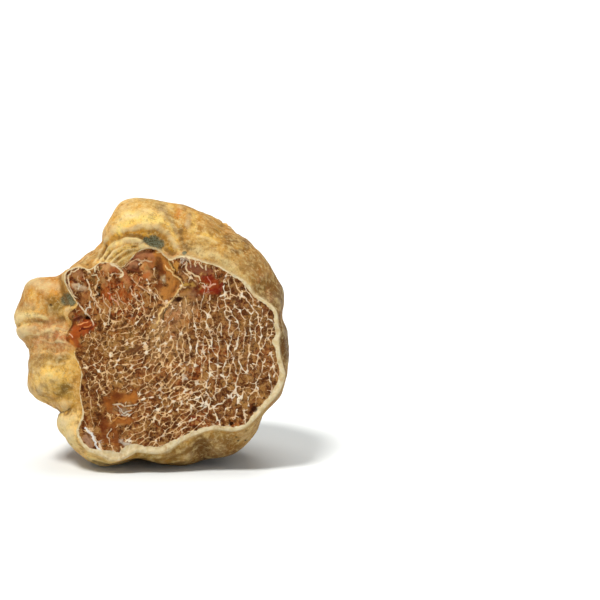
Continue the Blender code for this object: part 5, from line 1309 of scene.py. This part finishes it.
def build_mesh():
    skin, quads, chart, uv = skin_grid()
    face = cut_face()
    q, tris, rim_of, vein_d, vein_w, vein_white, cell = face
    # one list of points: the skin first, then the cut face's own
    number = np.where(rim_of >= 0, rim_of, -1)
    own = np.nonzero(number < 0)[0]
    number[own] = len(skin) + np.arange(len(own))
    tris_all = number[tris]
    a, b, c = q[tris[:, 0]], q[tris[:, 1]], q[tris[:, 2]]
    turn = (b[:, 0] - a[:, 0]) * (c[:, 1] - a[:, 1]) - (b[:, 1] - a[:, 1]) * (c[:, 0] - a[:, 0])
    tris_all[turn < 0] = tris_all[turn < 0][:, ::-1]
    tris[turn < 0] = tris[turn < 0][:, ::-1]
    # seen from the side of the cut (towards +w), u runs right and v up: that side is out
    quads = quads[:, ::-1]
    uv = uv[:, ::-1]

    n = -vertex_normals(skin, [quads])  # u, v, w is a left-handed frame
    rise, pit, gap, near, crest = skin_detail(skin, n)
    shaped = skin + n * rise[:, None]
    n2 = -vertex_normals(shaped, [quads])
    # hollows and crests, at two widths, for the skin's painted shade and painted highlight
    offset = np.stack([relax(shaped[:, k], quads, len(shaped), 2) for k in range(3)], 1) - shaped
    fine_cavity = relax(np.einsum("ij,ij->i", offset, n2), quads, len(shaped), 2)
    offset = np.stack([relax(shaped[:, k], quads, len(shaped), 14) for k in range(3)], 1) - shaped
    wide_cavity = relax(np.einsum("ij,ij->i", offset, n2), quads, len(shaped), 3)

    u, v = q[own, 0], q[own, 1]
    rim = rim_distance(u, v)
    h = flesh_relief(u, v, rim, vein_d[own], vein_w[own], cell[own])
    points = np.concatenate([shaped, np.stack([u, v, -h], 1)])
    placed = stand(points)
    placed[:, 2] = np.maximum(placed[:, 2], 0.0)

    mesh = bpy.data.meshes.new("white_truffle_visual")
    loops = np.concatenate([quads.ravel(), tris_all.ravel()])
    starts = np.concatenate([np.arange(len(quads)) * 4, len(quads) * 4 + np.arange(len(tris_all)) * 3])
    mesh.vertices.add(len(points))
    mesh.vertices.foreach_set("co", placed.astype(np.float32).ravel())
    mesh.loops.add(len(loops))
    mesh.loops.foreach_set("vertex_index", loops.astype(np.int32))
    mesh.polygons.add(len(starts))
    mesh.polygons.foreach_set("loop_start", starts.astype(np.int32))
    slots = np.concatenate([np.zeros(len(quads)), np.ones(len(tris_all))]).astype(np.int32)
    mesh.polygons.foreach_set("material_index", slots)
    mesh.polygons.foreach_set("use_smooth", np.ones(len(starts), bool))
    mesh.update(calc_edges=True)
    bad = mesh.validate(verbose=False)
    print("mesh:", len(points), "points,", len(quads) * 2 + len(tris_all), "triangles, repaired:", bad)

    def per_point(name, kind, skin_values, flesh_values):
        values = np.concatenate([skin_values, flesh_values]).astype(np.float32)
        attr = mesh.attributes.new(name, kind, "POINT")
        if kind == "FLOAT":
            attr.data.foreach_set("value", values)
        else:
            attr.data.foreach_set("color", np.column_stack([values, np.ones(len(values))]).astype(np.float32).ravel())

    zero_s, zero_f = np.zeros(len(skin)), np.zeros(len(own))
    us, vs = skin[:, 0], skin[:, 1]
    ps = skin
    tint_s = skin_tint(ps, near)
    pf = flat(u, v)
    uw = u + 0.5 * noise(pf, 1.4, 91) + 0.2 * noise(pf, 0.5, 92)
    vw = v + 0.5 * noise(pf, 1.4, 93) + 0.2 * noise(pf, 0.5, 94)
    base = np.repeat(rgb(158, 108, 66)[None, :], len(u), 0)
    tint_f = blend_tints(uw, vw, FLESH_TINTS, base, 0.25)
    # each cell has its own share of rose, gold and dark brown
    c64 = cell[own].astype(np.int64)
    r1, r2 = lattice(c64, c64 * 3 + 1, c64 * 0, 12), lattice(c64, c64 * 5 + 2, c64 * 0, 13)
    faint = smooth_step(-11.0, 1.0, u)
    slim = 0.74 + 0.26 * faint
    tint_f = tint_f * np.array((0.745, 0.56, 0.345))
    west = smooth_step(-5.0, -11.0, u)
    torn = smooth_step(4.5, 8.5, v) * smooth_step(6.0, 1.0, u)
    tint_f = tint_f * (1 - west[:, None] * np.array((0.0, 0.09, 0.24)))
    tint_f = tint_f * (1 + 0.1 * r1)[:, None]
    tint_f = tint_f * (1 + np.array((0.05, -0.03, -0.1)) * r2[:, None])
    glassy, keep_veins, plain = np.zeros(len(u)), np.ones(len(u)), np.zeros(len(u))
    uf, vf = bent_flat(u, v)
    line_d, line_tint = np.full(len(u), 9.0), np.repeat(rgb(240, 210, 170)[None, :], len(u), 0)
    for points, width, tone, _, _, _ in DRAWN:
        d = distance_to_line(u, v, [tuple(c) for c in drawn_line(points, 0.18)]) - width * 0.72
        closer = d < line_d
        line_d[closer] = d[closer]
        line_tint[closer] = rgb(*tone)
    ragged = 1 + 0.5 * noise(pf, 1.1, 102) + 0.3 * noise(pf, 0.5, 103)
    for points, width, tone, share, hold, _ in FLESH_MARKS:
        if len(points) > 1 and width < 0.34:
            continue
        d = np.hypot(uf - points[0][0], vf - points[0][1]) if len(points) == 1 else distance_to_line(uf, vf, points)
        k = np.exp(-((d * ragged / width) ** (3.0 if width > 1.7 else 5.0)))
        tint_f = tint_f * (1 - share * k[:, None]) + rgb(*tone) * share * k[:, None]
        keep_veins = np.minimum(keep_veins, 1 - hold * k)
        plain = np.maximum(plain, share * k)
    tint_f = tint_f * (1 + torn[:, None] * np.array((0.16, 0.0, -0.24)))
    for outline in GLASSY:
        inner = smooth_step(-0.12, 0.2, inside_outline(uf, vf, outline))
        glassy = np.maximum(glassy, inner)
    hole = np.zeros(len(u))
    for a, b, radius, depth in HOLES:
        hole = np.maximum(hole, np.exp(-((((u - a) ** 2 + (v - b) ** 2) / radius**2) ** 1.5)))
    fuzz = np.zeros(len(u))
    for a, b, radius in FUZZ:
        fuzz = np.maximum(fuzz, np.exp(-(((uw - a) ** 2 + (vw - b) ** 2) / radius**2)))
    # the band of skin section: thick at the lower left and right, thin along the left
    theta = np.arctan2(v, u)
    angles, widths = zip(*BAND)
    band = np.interp((np.degrees(theta) + 360) % 360, angles, widths) * (1 + 0.35 * noise(pf, 2.0, 97))
    bloom = np.zeros(len(skin))
    for a, b, radius in BLOOMS:
        bloom = np.maximum(bloom, near * np.exp(-(((us - a) ** 2 + (vs - b) ** 2) / radius**2)))
    dots = np.zeros(len(skin))
    for a, b, radius in DOTS:
        dots = np.maximum(dots, near * smooth_step(radius * 1.5, radius * 0.6, np.hypot(us - a, vs - b)))
    cracks = near * np.exp(-(((us + 21.5) / 5.0) ** 2 + ((vs + 0.5) / 5.0) ** 2)) + 0.25 * (1 - near)

    per_point("tint", "FLOAT_COLOR", tint_s, tint_f)
    per_point("vein_d", "FLOAT", zero_s + 9, vein_d[own])
    per_point("vein_w", "FLOAT", zero_s, vein_w[own] * slim * keep_veins - 0.3 * (1 - keep_veins))
    per_point("vein_white", "FLOAT", zero_s, vein_white[own] - 0.25 * (1 - faint))
    per_point("rim_in", "FLOAT", zero_s, rim)
    band_s = np.interp((np.degrees(np.arctan2(vs, us)) + 360) % 360, angles, widths)
    per_point("band", "FLOAT", band_s, band)
    per_point("glassy", "FLOAT", zero_s, glassy)
    per_point("calm", "FLOAT", zero_s, 1 - plain)
    per_point("line_d", "FLOAT", zero_s + 9, line_d)
    per_point("line_tint", "FLOAT_COLOR", tint_s, line_tint)
    per_point("hole", "FLOAT", zero_s, hole)
    per_point("fuzz", "FLOAT", zero_s, fuzz)
    turn = (np.degrees(np.arctan2(vs, us)) + 360) % 360
    border_off = 3.0 * np.exp(-(((turn - 165) / 62.0) ** 6))
    per_point("from_rim", "FLOAT", gap + border_off, zero_f)
    per_point("fine_cavity", "FLOAT", fine_cavity, zero_f)
    per_point("wide_cavity", "FLOAT", wide_cavity, zero_f)
    per_point("pit", "FLOAT", pit, zero_f)
    per_point("crest", "FLOAT", crest, zero_f)
    per_point("bloom", "FLOAT", bloom, zero_f)
    per_point("dots", "FLOAT", dots, zero_f)
    per_point("cracks", "FLOAT", cracks, zero_f)

    # a map for baking: the cut face large, and the skin in five patches
    layer = mesh.uv_layers.new(name="OFBake")
    corner = np.array([(0.67, 0.01), (0.67, 0.34), (0.67, 0.67), (0.01, 0.01), (0.34, 0.01)])
    skin_uv = corner[chart][:, None, :] + uv * 0.31
    all_q = np.concatenate([RIM, q[own]])
    idx = tris_all.copy()
    idx[tris_all >= len(skin)] -= len(skin) - len(RIM)
    flesh_uv = np.stack([(all_q[idx][..., 0] + 19.0) / 48.0 * 0.64 + 0.012,
                         (all_q[idx][..., 1] + 26.0) / 48.0 * 0.64 + 0.34], -1)
    layer.data.foreach_set("uv", np.concatenate([skin_uv.reshape(-1, 2), flesh_uv.reshape(-1, 2)]).astype(np.float32).ravel())
    return mesh


# ---------------------------------------------------------------- materials
class Nodes:
    """Short names for the shader nodes used here."""

    def __init__(self, mat):
        mat.use_nodes = True
        self.tree = mat.node_tree
        self.tree.nodes.clear()
        self.out = self.tree.nodes.new("ShaderNodeOutputMaterial")
        self.shader = self.tree.nodes.new("ShaderNodeBsdfPrincipled")
        self.tree.links.new(self.shader.outputs[0], self.out.inputs[0])

    def put(self, value, socket):
        if isinstance(value, bpy.types.NodeSocket):
            self.tree.links.new(value, socket)
        elif isinstance(value, (tuple, list, np.ndarray)):
            value = tuple(float(x) for x in value)
            socket.default_value = value if len(value) == len(socket.default_value) else (*value, 1.0)
        else:
            socket.default_value = value

    def attr(self, name, output="Fac"):
        node = self.tree.nodes.new("ShaderNodeAttribute")
        node.attribute_name = name
        return node.outputs[output]

    def math(self, operation, a, b=0.0, c=0.0, clamp=False):
        node = self.tree.nodes.new("ShaderNodeMath")
        node.operation = operation
        node.use_clamp = clamp
        for value, socket in zip((a, b, c), node.inputs):
            self.put(value, socket)
        return node.outputs[0]

    def ramp(self, value, low, high, to_low=0.0, to_high=1.0, smooth=True):
        node = self.tree.nodes.new("ShaderNodeMapRange")
        node.interpolation_type = "SMOOTHSTEP" if smooth else "LINEAR"
        for v, socket in zip((value, low, high, to_low, to_high), node.inputs):
            self.put(v, socket)
        return node.outputs[0]

    def mix(self, share, a, b, kind="MIX"):
        node = self.tree.nodes.new("ShaderNodeMix")
        node.data_type = "RGBA"
        node.blend_type = kind
        node.clamp_factor = True
        self.put(share, node.inputs[0])
        self.put(a, node.inputs[6])
        self.put(b, node.inputs[7])
        return node.outputs[2]

    def coords(self):
        """Object coordinates in millimetres."""
        node = self.tree.nodes.new("ShaderNodeTexCoord")
        scale = self.tree.nodes.new("ShaderNodeVectorMath")
        scale.operation = "SCALE"
        self.tree.links.new(node.outputs["Object"], scale.inputs[0])
        scale.inputs["Scale"].default_value = 1000.0
        return scale.outputs[0]

    def moved(self, vector, field, amount):
        """The vector shifted by a colour field, which is 0.5 on average."""
        less = self.tree.nodes.new("ShaderNodeVectorMath")
        less.operation = "SUBTRACT"
        self.put(field, less.inputs[0])
        less.inputs[1].default_value = (0.5, 0.5, 0.5)
        scaled = self.tree.nodes.new("ShaderNodeVectorMath")
        scaled.operation = "SCALE"
        self.tree.links.new(less.outputs[0], scaled.inputs[0])
        scaled.inputs["Scale"].default_value = amount
        added = self.tree.nodes.new("ShaderNodeVectorMath")
        added.operation = "ADD"
        self.put(vector, added.inputs[0])
        self.tree.links.new(scaled.outputs[0], added.inputs[1])
        return added.outputs[0]

    def noise(self, vector, size, detail=3.0, rough=0.55, output=0, distortion=0.0):
        node = self.tree.nodes.new("ShaderNodeTexNoise")
        self.put(vector, node.inputs["Vector"])
        node.inputs["Scale"].default_value = 1.0 / size
        node.inputs["Detail"].default_value = detail
        node.inputs["Roughness"].default_value = rough
        node.inputs["Distortion"].default_value = distortion
        return node.outputs[output]

    def voronoi(self, vector, size, feature="F1", output=0, randomness=1.0):
        node = self.tree.nodes.new("ShaderNodeTexVoronoi")
        node.feature = feature
        self.put(vector, node.inputs["Vector"])
        node.inputs["Scale"].default_value = 1.0 / size
        node.inputs["Randomness"].default_value = randomness
        return node.outputs[output]

    def bump(self, height, distance, normal=None, strength=1.0):
        node = self.tree.nodes.new("ShaderNodeBump")
        node.inputs["Strength"].default_value = strength
        node.inputs["Distance"].default_value = distance
        self.put(height, node.inputs["Height"])
        if normal is not None:
            self.put(normal, node.inputs["Normal"])
        return node.outputs[0]


ALBEDO = 0.62  # how much of a colour's seen strength is the surface's own


def own(r, g, b, share=1.0):
    return tuple(rgb(r, g, b) * ALBEDO * share)


def skin_material():
    mat = bpy.data.materials.new("truffle_skin")
    g = Nodes(mat)
    p = g.coords()
    tint = g.mix(1.0, g.attr("tint", "Color"), (ALBEDO,) * 3, "MULTIPLY")
    bent = g.moved(p, g.noise(p, 1.6, 2.0, output=1), 0.9)
    cloud = g.noise(bent, 1.7, 5.0, 0.62)
    grain = g.noise(p, 0.34, 4.0, 0.65)
    broad = g.noise(p, 5.0, 3.0, 0.5)
    rich = g.mix(1.0, tint, (1.08, 0.94, 0.60), "MULTIPLY")
    tint = g.mix(1.0, tint, (1.02, 0.98, 0.84), "MULTIPLY")
    colour = g.mix(g.ramp(g.noise(bent, 2.6, 4.0, 0.6), 0.44, 0.62, 0.0, 0.9), tint, rich)
    colour = g.mix(g.ramp(cloud, 0.50, 0.68, 0.0, 0.55), colour, own(250, 216, 142))
    colour = g.mix(g.ramp(cloud, 0.48, 0.34, 0.0, 0.6), colour, own(150, 108, 44))
    colour = g.mix(g.ramp(broad, 0.55, 0.72, 0.0, 0.28), colour, own(156, 134, 84))
    small = g.noise(g.moved(p, g.noise(p, 0.7, 2.0, output=1), 0.5), 0.75, 4.0, 0.62)
    colour = g.mix(g.ramp(small, 0.50, 0.64, 0.0, 0.36), colour, own(250, 222, 156))
    colour = g.mix(g.ramp(small, 0.48, 0.34, 0.0, 0.36), colour, own(140, 100, 46))
    light = g.ramp(grain, 0.25, 0.75, 0.82, 1.16, smooth=False)
    colour = g.mix(1.0, colour, g.tree_colour(light), "MULTIPLY")
    # brown flecks, thick in places and thin in others
    near_dot = g.voronoi(g.moved(p, g.noise(p, 0.5, 2.0, output=1), 0.35), 0.62)
    here = g.ramp(g.noise(p, 3.2, 3.0, 0.6), 0.50, 0.66)
    fleck = g.math("MULTIPLY", g.ramp(near_dot, 0.26, 0.12), here)
    colour = g.mix(g.math("MULTIPLY", fleck, 0.5), colour, own(120, 84, 44))
    near_speck = g.voronoi(p, 1.5)
    speck = g.math("MULTIPLY", g.ramp(near_speck, 0.1, 0.05), g.ramp(g.noise(p, 2.1), 0.5, 0.58))
    colour = g.mix(g.math("MULTIPLY", speck, 0.75), colour, own(84, 56, 30))
    # hollows are browner and crests paler
    # painted shade: hollows and pits darkened brown; painted highlight: crests lightened cream
    wide, fine = g.attr("wide_cavity"), g.attr("fine_cavity")
    colour = g.mix(g.ramp(wide, 0.03, 0.42, 0.0, 0.55), colour, own(158, 108, 34))
    colour = g.mix(g.ramp(fine, 0.006, 0.07, 0.0, 0.55), colour, own(112, 76, 36))
    colour = g.mix(g.ramp(wide, -0.03, -0.35, 0.0, 0.34), colour, own(246, 218, 160))
    colour = g.mix(g.ramp(fine, -0.008, -0.06, 0.0, 0.4), colour, own(248, 224, 172))
    colour = g.mix(g.math("MULTIPLY", g.attr("pit"), 0.7), colour, own(92, 62, 30))
    # thin pale cracks
    edge = g.voronoi(g.moved(p, g.noise(p, 1.3, 3.0, output=1), 1.6), 3.0, "DISTANCE_TO_EDGE")
    crack = g.math("MULTIPLY", g.ramp(edge, 0.045, 0.01), g.attr("cracks"))
    crack = g.math("MULTIPLY", crack, g.ramp(g.noise(p, 2.6), 0.42, 0.6))
    colour = g.mix(g.math("MULTIPLY", crack, 0.55), colour, own(246, 216, 160))
    # grey-green bloom, dots, and the pale border by the cut
    bloom = g.ramp(g.math("ADD", g.attr("bloom"), g.math("MULTIPLY", g.math("SUBTRACT", grain, 0.5), 0.9)), 0.30, 0.62)
    mould = g.mix(g.ramp(g.noise(p, 0.3, 3.0), 0.4, 0.6), own(120, 128, 104), own(74, 72, 44))
    colour = g.mix(g.math("MULTIPLY", bloom, 0.88), colour, mould)
    colour = g.mix(g.attr("dots"), colour, own(38, 26, 16))
    # painted highlight on the ridges of the small folds, and painted shade along their grooves
    crest = g.attr("crest")
    colour = g.mix(g.ramp(crest, 0.04, 0.32, 0.0, 0.62), colour, own(250, 224, 160))
    colour = g.mix(g.ramp(crest, -0.05, -0.3, 0.0, 0.55), colour, own(136, 94, 38))
    border = g.ramp(g.math("ADD", g.attr("from_rim"), g.math("MULTIPLY", cloud, 1.2)), 1.3, 0.5)
    colour = g.mix(g.math("MULTIPLY", border, 0.55), colour, own(240, 214, 160))
    g.put(colour, g.shader.inputs["Base Color"])
    rough = g.ramp(g.noise(p, 1.2, 3.0), 0.3, 0.7, 0.5, 0.7)
    g.put(rough, g.shader.inputs["Roughness"])
    g.shader.inputs["Specular IOR Level"].default_value = 0.12
    g.shader.inputs["Subsurface Weight"].default_value = 0.12
    g.shader.inputs["Subsurface Radius"].default_value = (1.0, 0.45, 0.18)
    g.shader.inputs["Subsurface Scale"].default_value = 0.0012
    normal = g.bump(grain, 0.00014)
    normal = g.bump(small, 0.00034, normal)
    normal = g.bump(crack, 0.00012, normal)
    normal = g.bump(g.math("MULTIPLY", g.math("MAXIMUM", fleck, speck), -1.0), 0.00006, normal)
    g.put(normal, g.shader.inputs["Normal"])
    return mat


def flesh_material():
    mat = bpy.data.materials.new("truffle_flesh")
    g = Nodes(mat)
    p = g.coords()
    tint = g.mix(1.0, g.attr("tint", "Color"), (ALBEDO,) * 3, "MULTIPLY")
    fine = g.noise(p, 0.22, 3.0, 0.6)
    mid = g.noise(p, 0.7, 3.0, 0.6)
    calm = g.ramp(g.attr("calm"), 0.0, 0.8, 0.16, 1.0)
    curled = g.moved(p, g.noise(p, 1.4, 2.0, output=1), 1.3)
    broad = g.noise(curled, 2.6, 4.0, 0.62)
    patch = g.noise(g.moved(p, g.noise(p, 2.2, 2.0, output=1), 1.5), 3.4, 3.0, 0.6)
    grains = g.noise(curled, 0.8, 4.0, 0.66)
    colour = g.mix(g.math("MULTIPLY", g.ramp(patch, 0.50, 0.62, 0.0, 0.5), calm), tint, g.mix(1.0, tint, (1.3, 0.74, 0.4), "MULTIPLY"))
    colour = g.mix(g.math("MULTIPLY", g.ramp(patch, 0.48, 0.38, 0.0, 0.5), calm), colour, g.mix(1.0, tint, (1.0, 1.16, 0.95), "MULTIPLY"))
    colour = g.mix(g.math("MULTIPLY", g.ramp(broad, 0.51, 0.60, 0.0, 0.55), calm), colour, own(182, 130, 66))
    colour = g.mix(g.math("MULTIPLY", g.ramp(broad, 0.50, 0.41, 0.0, 0.78), calm), colour, own(92, 44, 8))
    colour = g.mix(g.math("MULTIPLY", g.ramp(grains, 0.52, 0.62, 0.0, 0.6), calm), colour, own(198, 146, 82))
    colour = g.mix(g.math("MULTIPLY", g.ramp(grains, 0.49, 0.40, 0.0, 0.8), calm), colour, own(66, 30, 6))
    colour = g.mix(1.0, colour, g.tree_colour(g.ramp(fine, 0.25, 0.75, 0.84, 1.14, smooth=False)), "MULTIPLY")
    worm = g.math("ABSOLUTE", g.math("SUBTRACT", g.noise(curled, 0.95, 2.0, 0.5), 0.5))
    worm = g.math("MULTIPLY", g.ramp(worm, 0.022, 0.006), g.ramp(g.noise(p, 1.3, 2.0), 0.42, 0.58))
    worm = g.math("MULTIPLY", worm, calm)
    colour = g.mix(g.math("MULTIPLY", worm, 0.5), colour, own(214, 172, 118))
    d, w = g.attr("vein_d"), g.attr("vein_w")
    # thin veinlets inside the cells
    bent = g.moved(p, g.noise(p, 0.45, 2.0, output=1), 0.55)
    net = g.voronoi(bent, 0.85, "DISTANCE_TO_EDGE")
    gate = g.ramp(g.noise(p, 0.9, 2.0), 0.47, 0.60)
    thin = g.math("MULTIPLY", g.ramp(net, 0.085, 0.03), gate)
    thin = g.math("MULTIPLY", thin, g.ramp(w, -0.1, 0.08))
    colour = g.mix(g.math("MULTIPLY", thin, 0.26), colour, own(198, 150, 94))
    stretch = g.tree.nodes.new("ShaderNodeMapping")
    g.tree.links.new(p, stretch.inputs["Vector"])
    stretch.inputs["Rotation"].default_value = (0.0, -0.6, 0.0)
    stretch.inputs["Scale"].default_value = (0.35, 1.0, 1.6)
    streak = g.noise(g.moved(stretch.outputs[0], g.noise(p, 1.5, 2.0, output=1), 1.2), 1.9, 2.0, 0.5)
    amber = g.mix(g.ramp(streak, 0.40, 0.62), own(112, 42, 8), own(206, 122, 44))
    colour = g.mix(g.math("MULTIPLY", g.attr("glassy"), 0.2), colour, amber)
    # a paler halo, then the vein itself, with an uneven edge
    halo = g.ramp(g.math("SUBTRACT", d, w), 0.22, 0.0)
    halo = g.math("MULTIPLY", halo, g.ramp(w, -0.05, 0.1))
    colour = g.mix(g.math("MULTIPLY", halo, 0.12), colour, own(176, 124, 70))
    wide = g.math("MULTIPLY", w, g.ramp(g.noise(p, 0.8, 3.0), 0.34, 0.7, 0.4, 1.5))
    wide = g.math("ADD", wide, g.math("MULTIPLY", g.math("SUBTRACT", fine, 0.5), 0.16))
    vein = g.ramp(g.math("SUBTRACT", d, wide), 0.045, -0.03)
    vein = g.math("MULTIPLY", vein, g.ramp(g.noise(p, 2.3, 3.0, 0.6), 0.36, 0.54, 0.62, 1.0))
    vein = g.math("MULTIPLY", vein, g.ramp(g.noise(p, 0.95, 2.0, 0.5), 0.37, 0.45, 0.22, 1.0))
    white = g.ramp(g.math("ADD", g.attr("vein_white"), g.math("MULTIPLY", g.math("SUBTRACT", mid, 0.5), 1.2)), 0.2, 1.0)
    pale = g.mix(white, own(240, 196, 142, 1.13), own(252, 234, 206, 1.13))
    colour = g.mix(g.math("MULTIPLY", vein, 0.93), colour, pale)
    uneven = g.math("ADD", g.attr("line_d"), g.math("MULTIPLY", g.math("SUBTRACT", g.noise(p, 0.7, 3.0, 0.6), 0.5), 0.36))
    drawn = g.math("MULTIPLY", g.ramp(uneven, 0.06, -0.07), g.ramp(g.noise(p, 1.3, 3.0), 0.34, 0.5, 0.5, 0.97))
    colour = g.mix(drawn, colour, g.mix(1.0, g.attr("line_tint", "Color"), (ALBEDO,) * 3, "MULTIPLY"))
    # white fuzz
    fuzz = g.ramp(g.math("ADD", g.attr("fuzz"), g.math("MULTIPLY", g.math("SUBTRACT", g.noise(p, 0.4, 4.0, 0.7), 0.5), 2.2)), 0.75, 1.15)
    colour = g.mix(g.math("MULTIPLY", fuzz, 0.7), colour, own(226, 212, 192))
    # the skin in section: a cream band, yellower at its inner side
    reach = g.math("ADD", g.attr("band"), g.math("MULTIPLY", g.math("SUBTRACT", g.noise(p, 0.9, 3.0), 0.5), 0.8))
    band = g.ramp(g.math("SUBTRACT", g.attr("rim_in"), reach), 0.07, -0.07)
    section = g.mix(g.ramp(g.noise(p, 0.8, 3.0), 0.35, 0.65), own(236, 208, 156), own(250, 232, 190))
    section = g.mix(g.ramp(g.noise(p, 1.9, 3.0), 0.56, 0.70, 0.0, 0.5), section, own(196, 150, 88))
    colour = g.mix(g.math("MULTIPLY", band, 0.94), colour, section)
    # painted shade: the holes darkened brown
    colour = g.mix(g.ramp(g.attr("hole"), 0.25, 0.8, 0.0, 0.9), colour, own(74, 36, 16))
    g.put(colour, g.shader.inputs["Base Color"])
    rough = g.ramp(fine, 0.3, 0.7, 0.34, 0.5)
    rough = g.mix(g.math("MAXIMUM", vein, band), g.tree_colour(rough), (0.55,) * 3)
    rough = g.mix(g.attr("glassy"), rough, (0.22,) * 3)
    g.put(rough, g.shader.inputs["Roughness"])
    g.shader.inputs["Specular IOR Level"].default_value = 0.05
    g.shader.inputs["Subsurface Weight"].default_value = 0.1
    g.shader.inputs["Subsurface Radius"].default_value = (1.0, 0.4, 0.15)
    g.shader.inputs["Subsurface Scale"].default_value = 0.0008
    normal = g.bump(fine, 0.00005)
    normal = g.bump(mid, 0.00014, normal)
    normal = g.bump(g.math("MAXIMUM", vein, g.math("MULTIPLY", thin, 0.4)), 0.00008, normal)
    g.put(normal, g.shader.inputs["Normal"])
    return mat


def tree_colour(self, value):
    """One number as a grey colour."""
    node = self.tree.nodes.new("ShaderNodeCombineColor")
    for k in range(3):
        self.tree.links.new(value, node.inputs[k])
    return node.outputs[0]


Nodes.tree_colour = tree_colour


# ---------------------------------------------------------------- the piece
mesh = build_mesh()
mesh.materials.append(skin_material())
mesh.materials.append(flesh_material())
truffle = bpy.data.objects.new("white_truffle_visual", mesh)
bpy.context.scene.collection.objects.link(truffle)
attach(truffle, "root")
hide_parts("white_truffle")


# ---------------------------------------------------------------- stage, light, camera
def plain(name, colour, roughness):
    mat = bpy.data.materials.new(name)
    mat.use_nodes = True
    shader = mat.node_tree.nodes["Principled BSDF"]
    shader.inputs["Base Color"].default_value = (*colour, 1)
    shader.inputs["Roughness"].default_value = roughness
    return mat


floor_mesh = bpy.data.meshes.new("floor")
size = 30.0
floor_mesh.from_pydata([(-size, -size, 0), (size, -size, 0), (size, size, 0), (-size, size, 0)], [], [(0, 1, 2, 3)])
floor_mesh.materials.append(plain("floor_white", (0.74, 0.765, 0.775), 0.6))
floor = bpy.data.objects.new("floor", floor_mesh)
floor.location.z = -0.00002
bpy.context.scene.collection.objects.link(floor)

world = bpy.data.worlds.new("studio")
bpy.context.scene.world = world
world.use_nodes = True
wt = world.node_tree
wt.nodes.clear()
w_out = wt.nodes.new("ShaderNodeOutputWorld")
w_bg = wt.nodes.new("ShaderNodeBackground")
w_co = wt.nodes.new("ShaderNodeTexCoord")
w_sep = wt.nodes.new("ShaderNodeSeparateXYZ")
w_ramp = wt.nodes.new("ShaderNodeMapRange")
wt.links.new(w_co.outputs["Generated"], w_sep.inputs[0])
wt.links.new(w_sep.outputs[2], w_ramp.inputs[0])
for value, socket in zip((0.14, 0.30, 1.10, 0.22), w_ramp.inputs[1:5]):
    socket.default_value = value
wt.links.new(w_ramp.outputs[0], w_bg.inputs["Strength"])
w_bg.inputs["Color"].default_value = (0.93, 0.97, 1.0, 1.0)
wt.links.new(w_bg.outputs[0], w_out.inputs[0])


def sun(name, strength, azimuth, elevation, angle, colour):
    """A far soft light, azimuth 0 from behind the camera and 90 from the right."""
    data = bpy.data.lights.new(name, "SUN")
    data.energy = strength
    data.angle = math.radians(angle)
    data.color = colour
    obj = bpy.data.objects.new(name, data)
    a, e = math.radians(azimuth), math.radians(elevation)
    back = Vector((math.sin(a) * math.cos(e), -math.cos(a) * math.cos(e), math.sin(e)))
    obj.rotation_mode = "QUATERNION"
    obj.rotation_quaternion = back.to_track_quat("Z", "Y")
    bpy.context.scene.collection.objects.link(obj)


sun("key", 3.5, -38, 62, 16, (1.0, 0.975, 0.93))
sun("top", 1.8, 170, 70, 40, (1.0, 0.985, 0.94))
sun("fill", 0.3, 28, 30, 60, (0.8, 0.92, 1.0))

scene = bpy.context.scene
scene.view_settings.view_transform = "Standard"
scene.view_settings.look = "None"
scene.view_settings.exposure = 0.0
scene.view_settings.gamma = 1.0

lens, sensor = 135.0, 36.0
distance = 600 * 0.21 * MM * lens / sensor
e = math.radians(LEAN_DEG)
target = Vector(stand(np.array([[31.5, 8.75, 0.0]]))[0])
forward = Vector((0, math.cos(e), -math.sin(e)))
camera_data = bpy.data.cameras.new("camera")
camera_data.lens, camera_data.sensor_width = lens, sensor
camera_data.clip_start, camera_data.clip_end = 0.01, 100.0
camera = bpy.data.objects.new("camera", camera_data)
camera.location = target - forward * distance
camera.rotation_mode = "QUATERNION"
camera.rotation_quaternion = forward.to_track_quat("-Z", "Y")
bpy.context.scene.collection.objects.link(camera)
scene.camera = camera
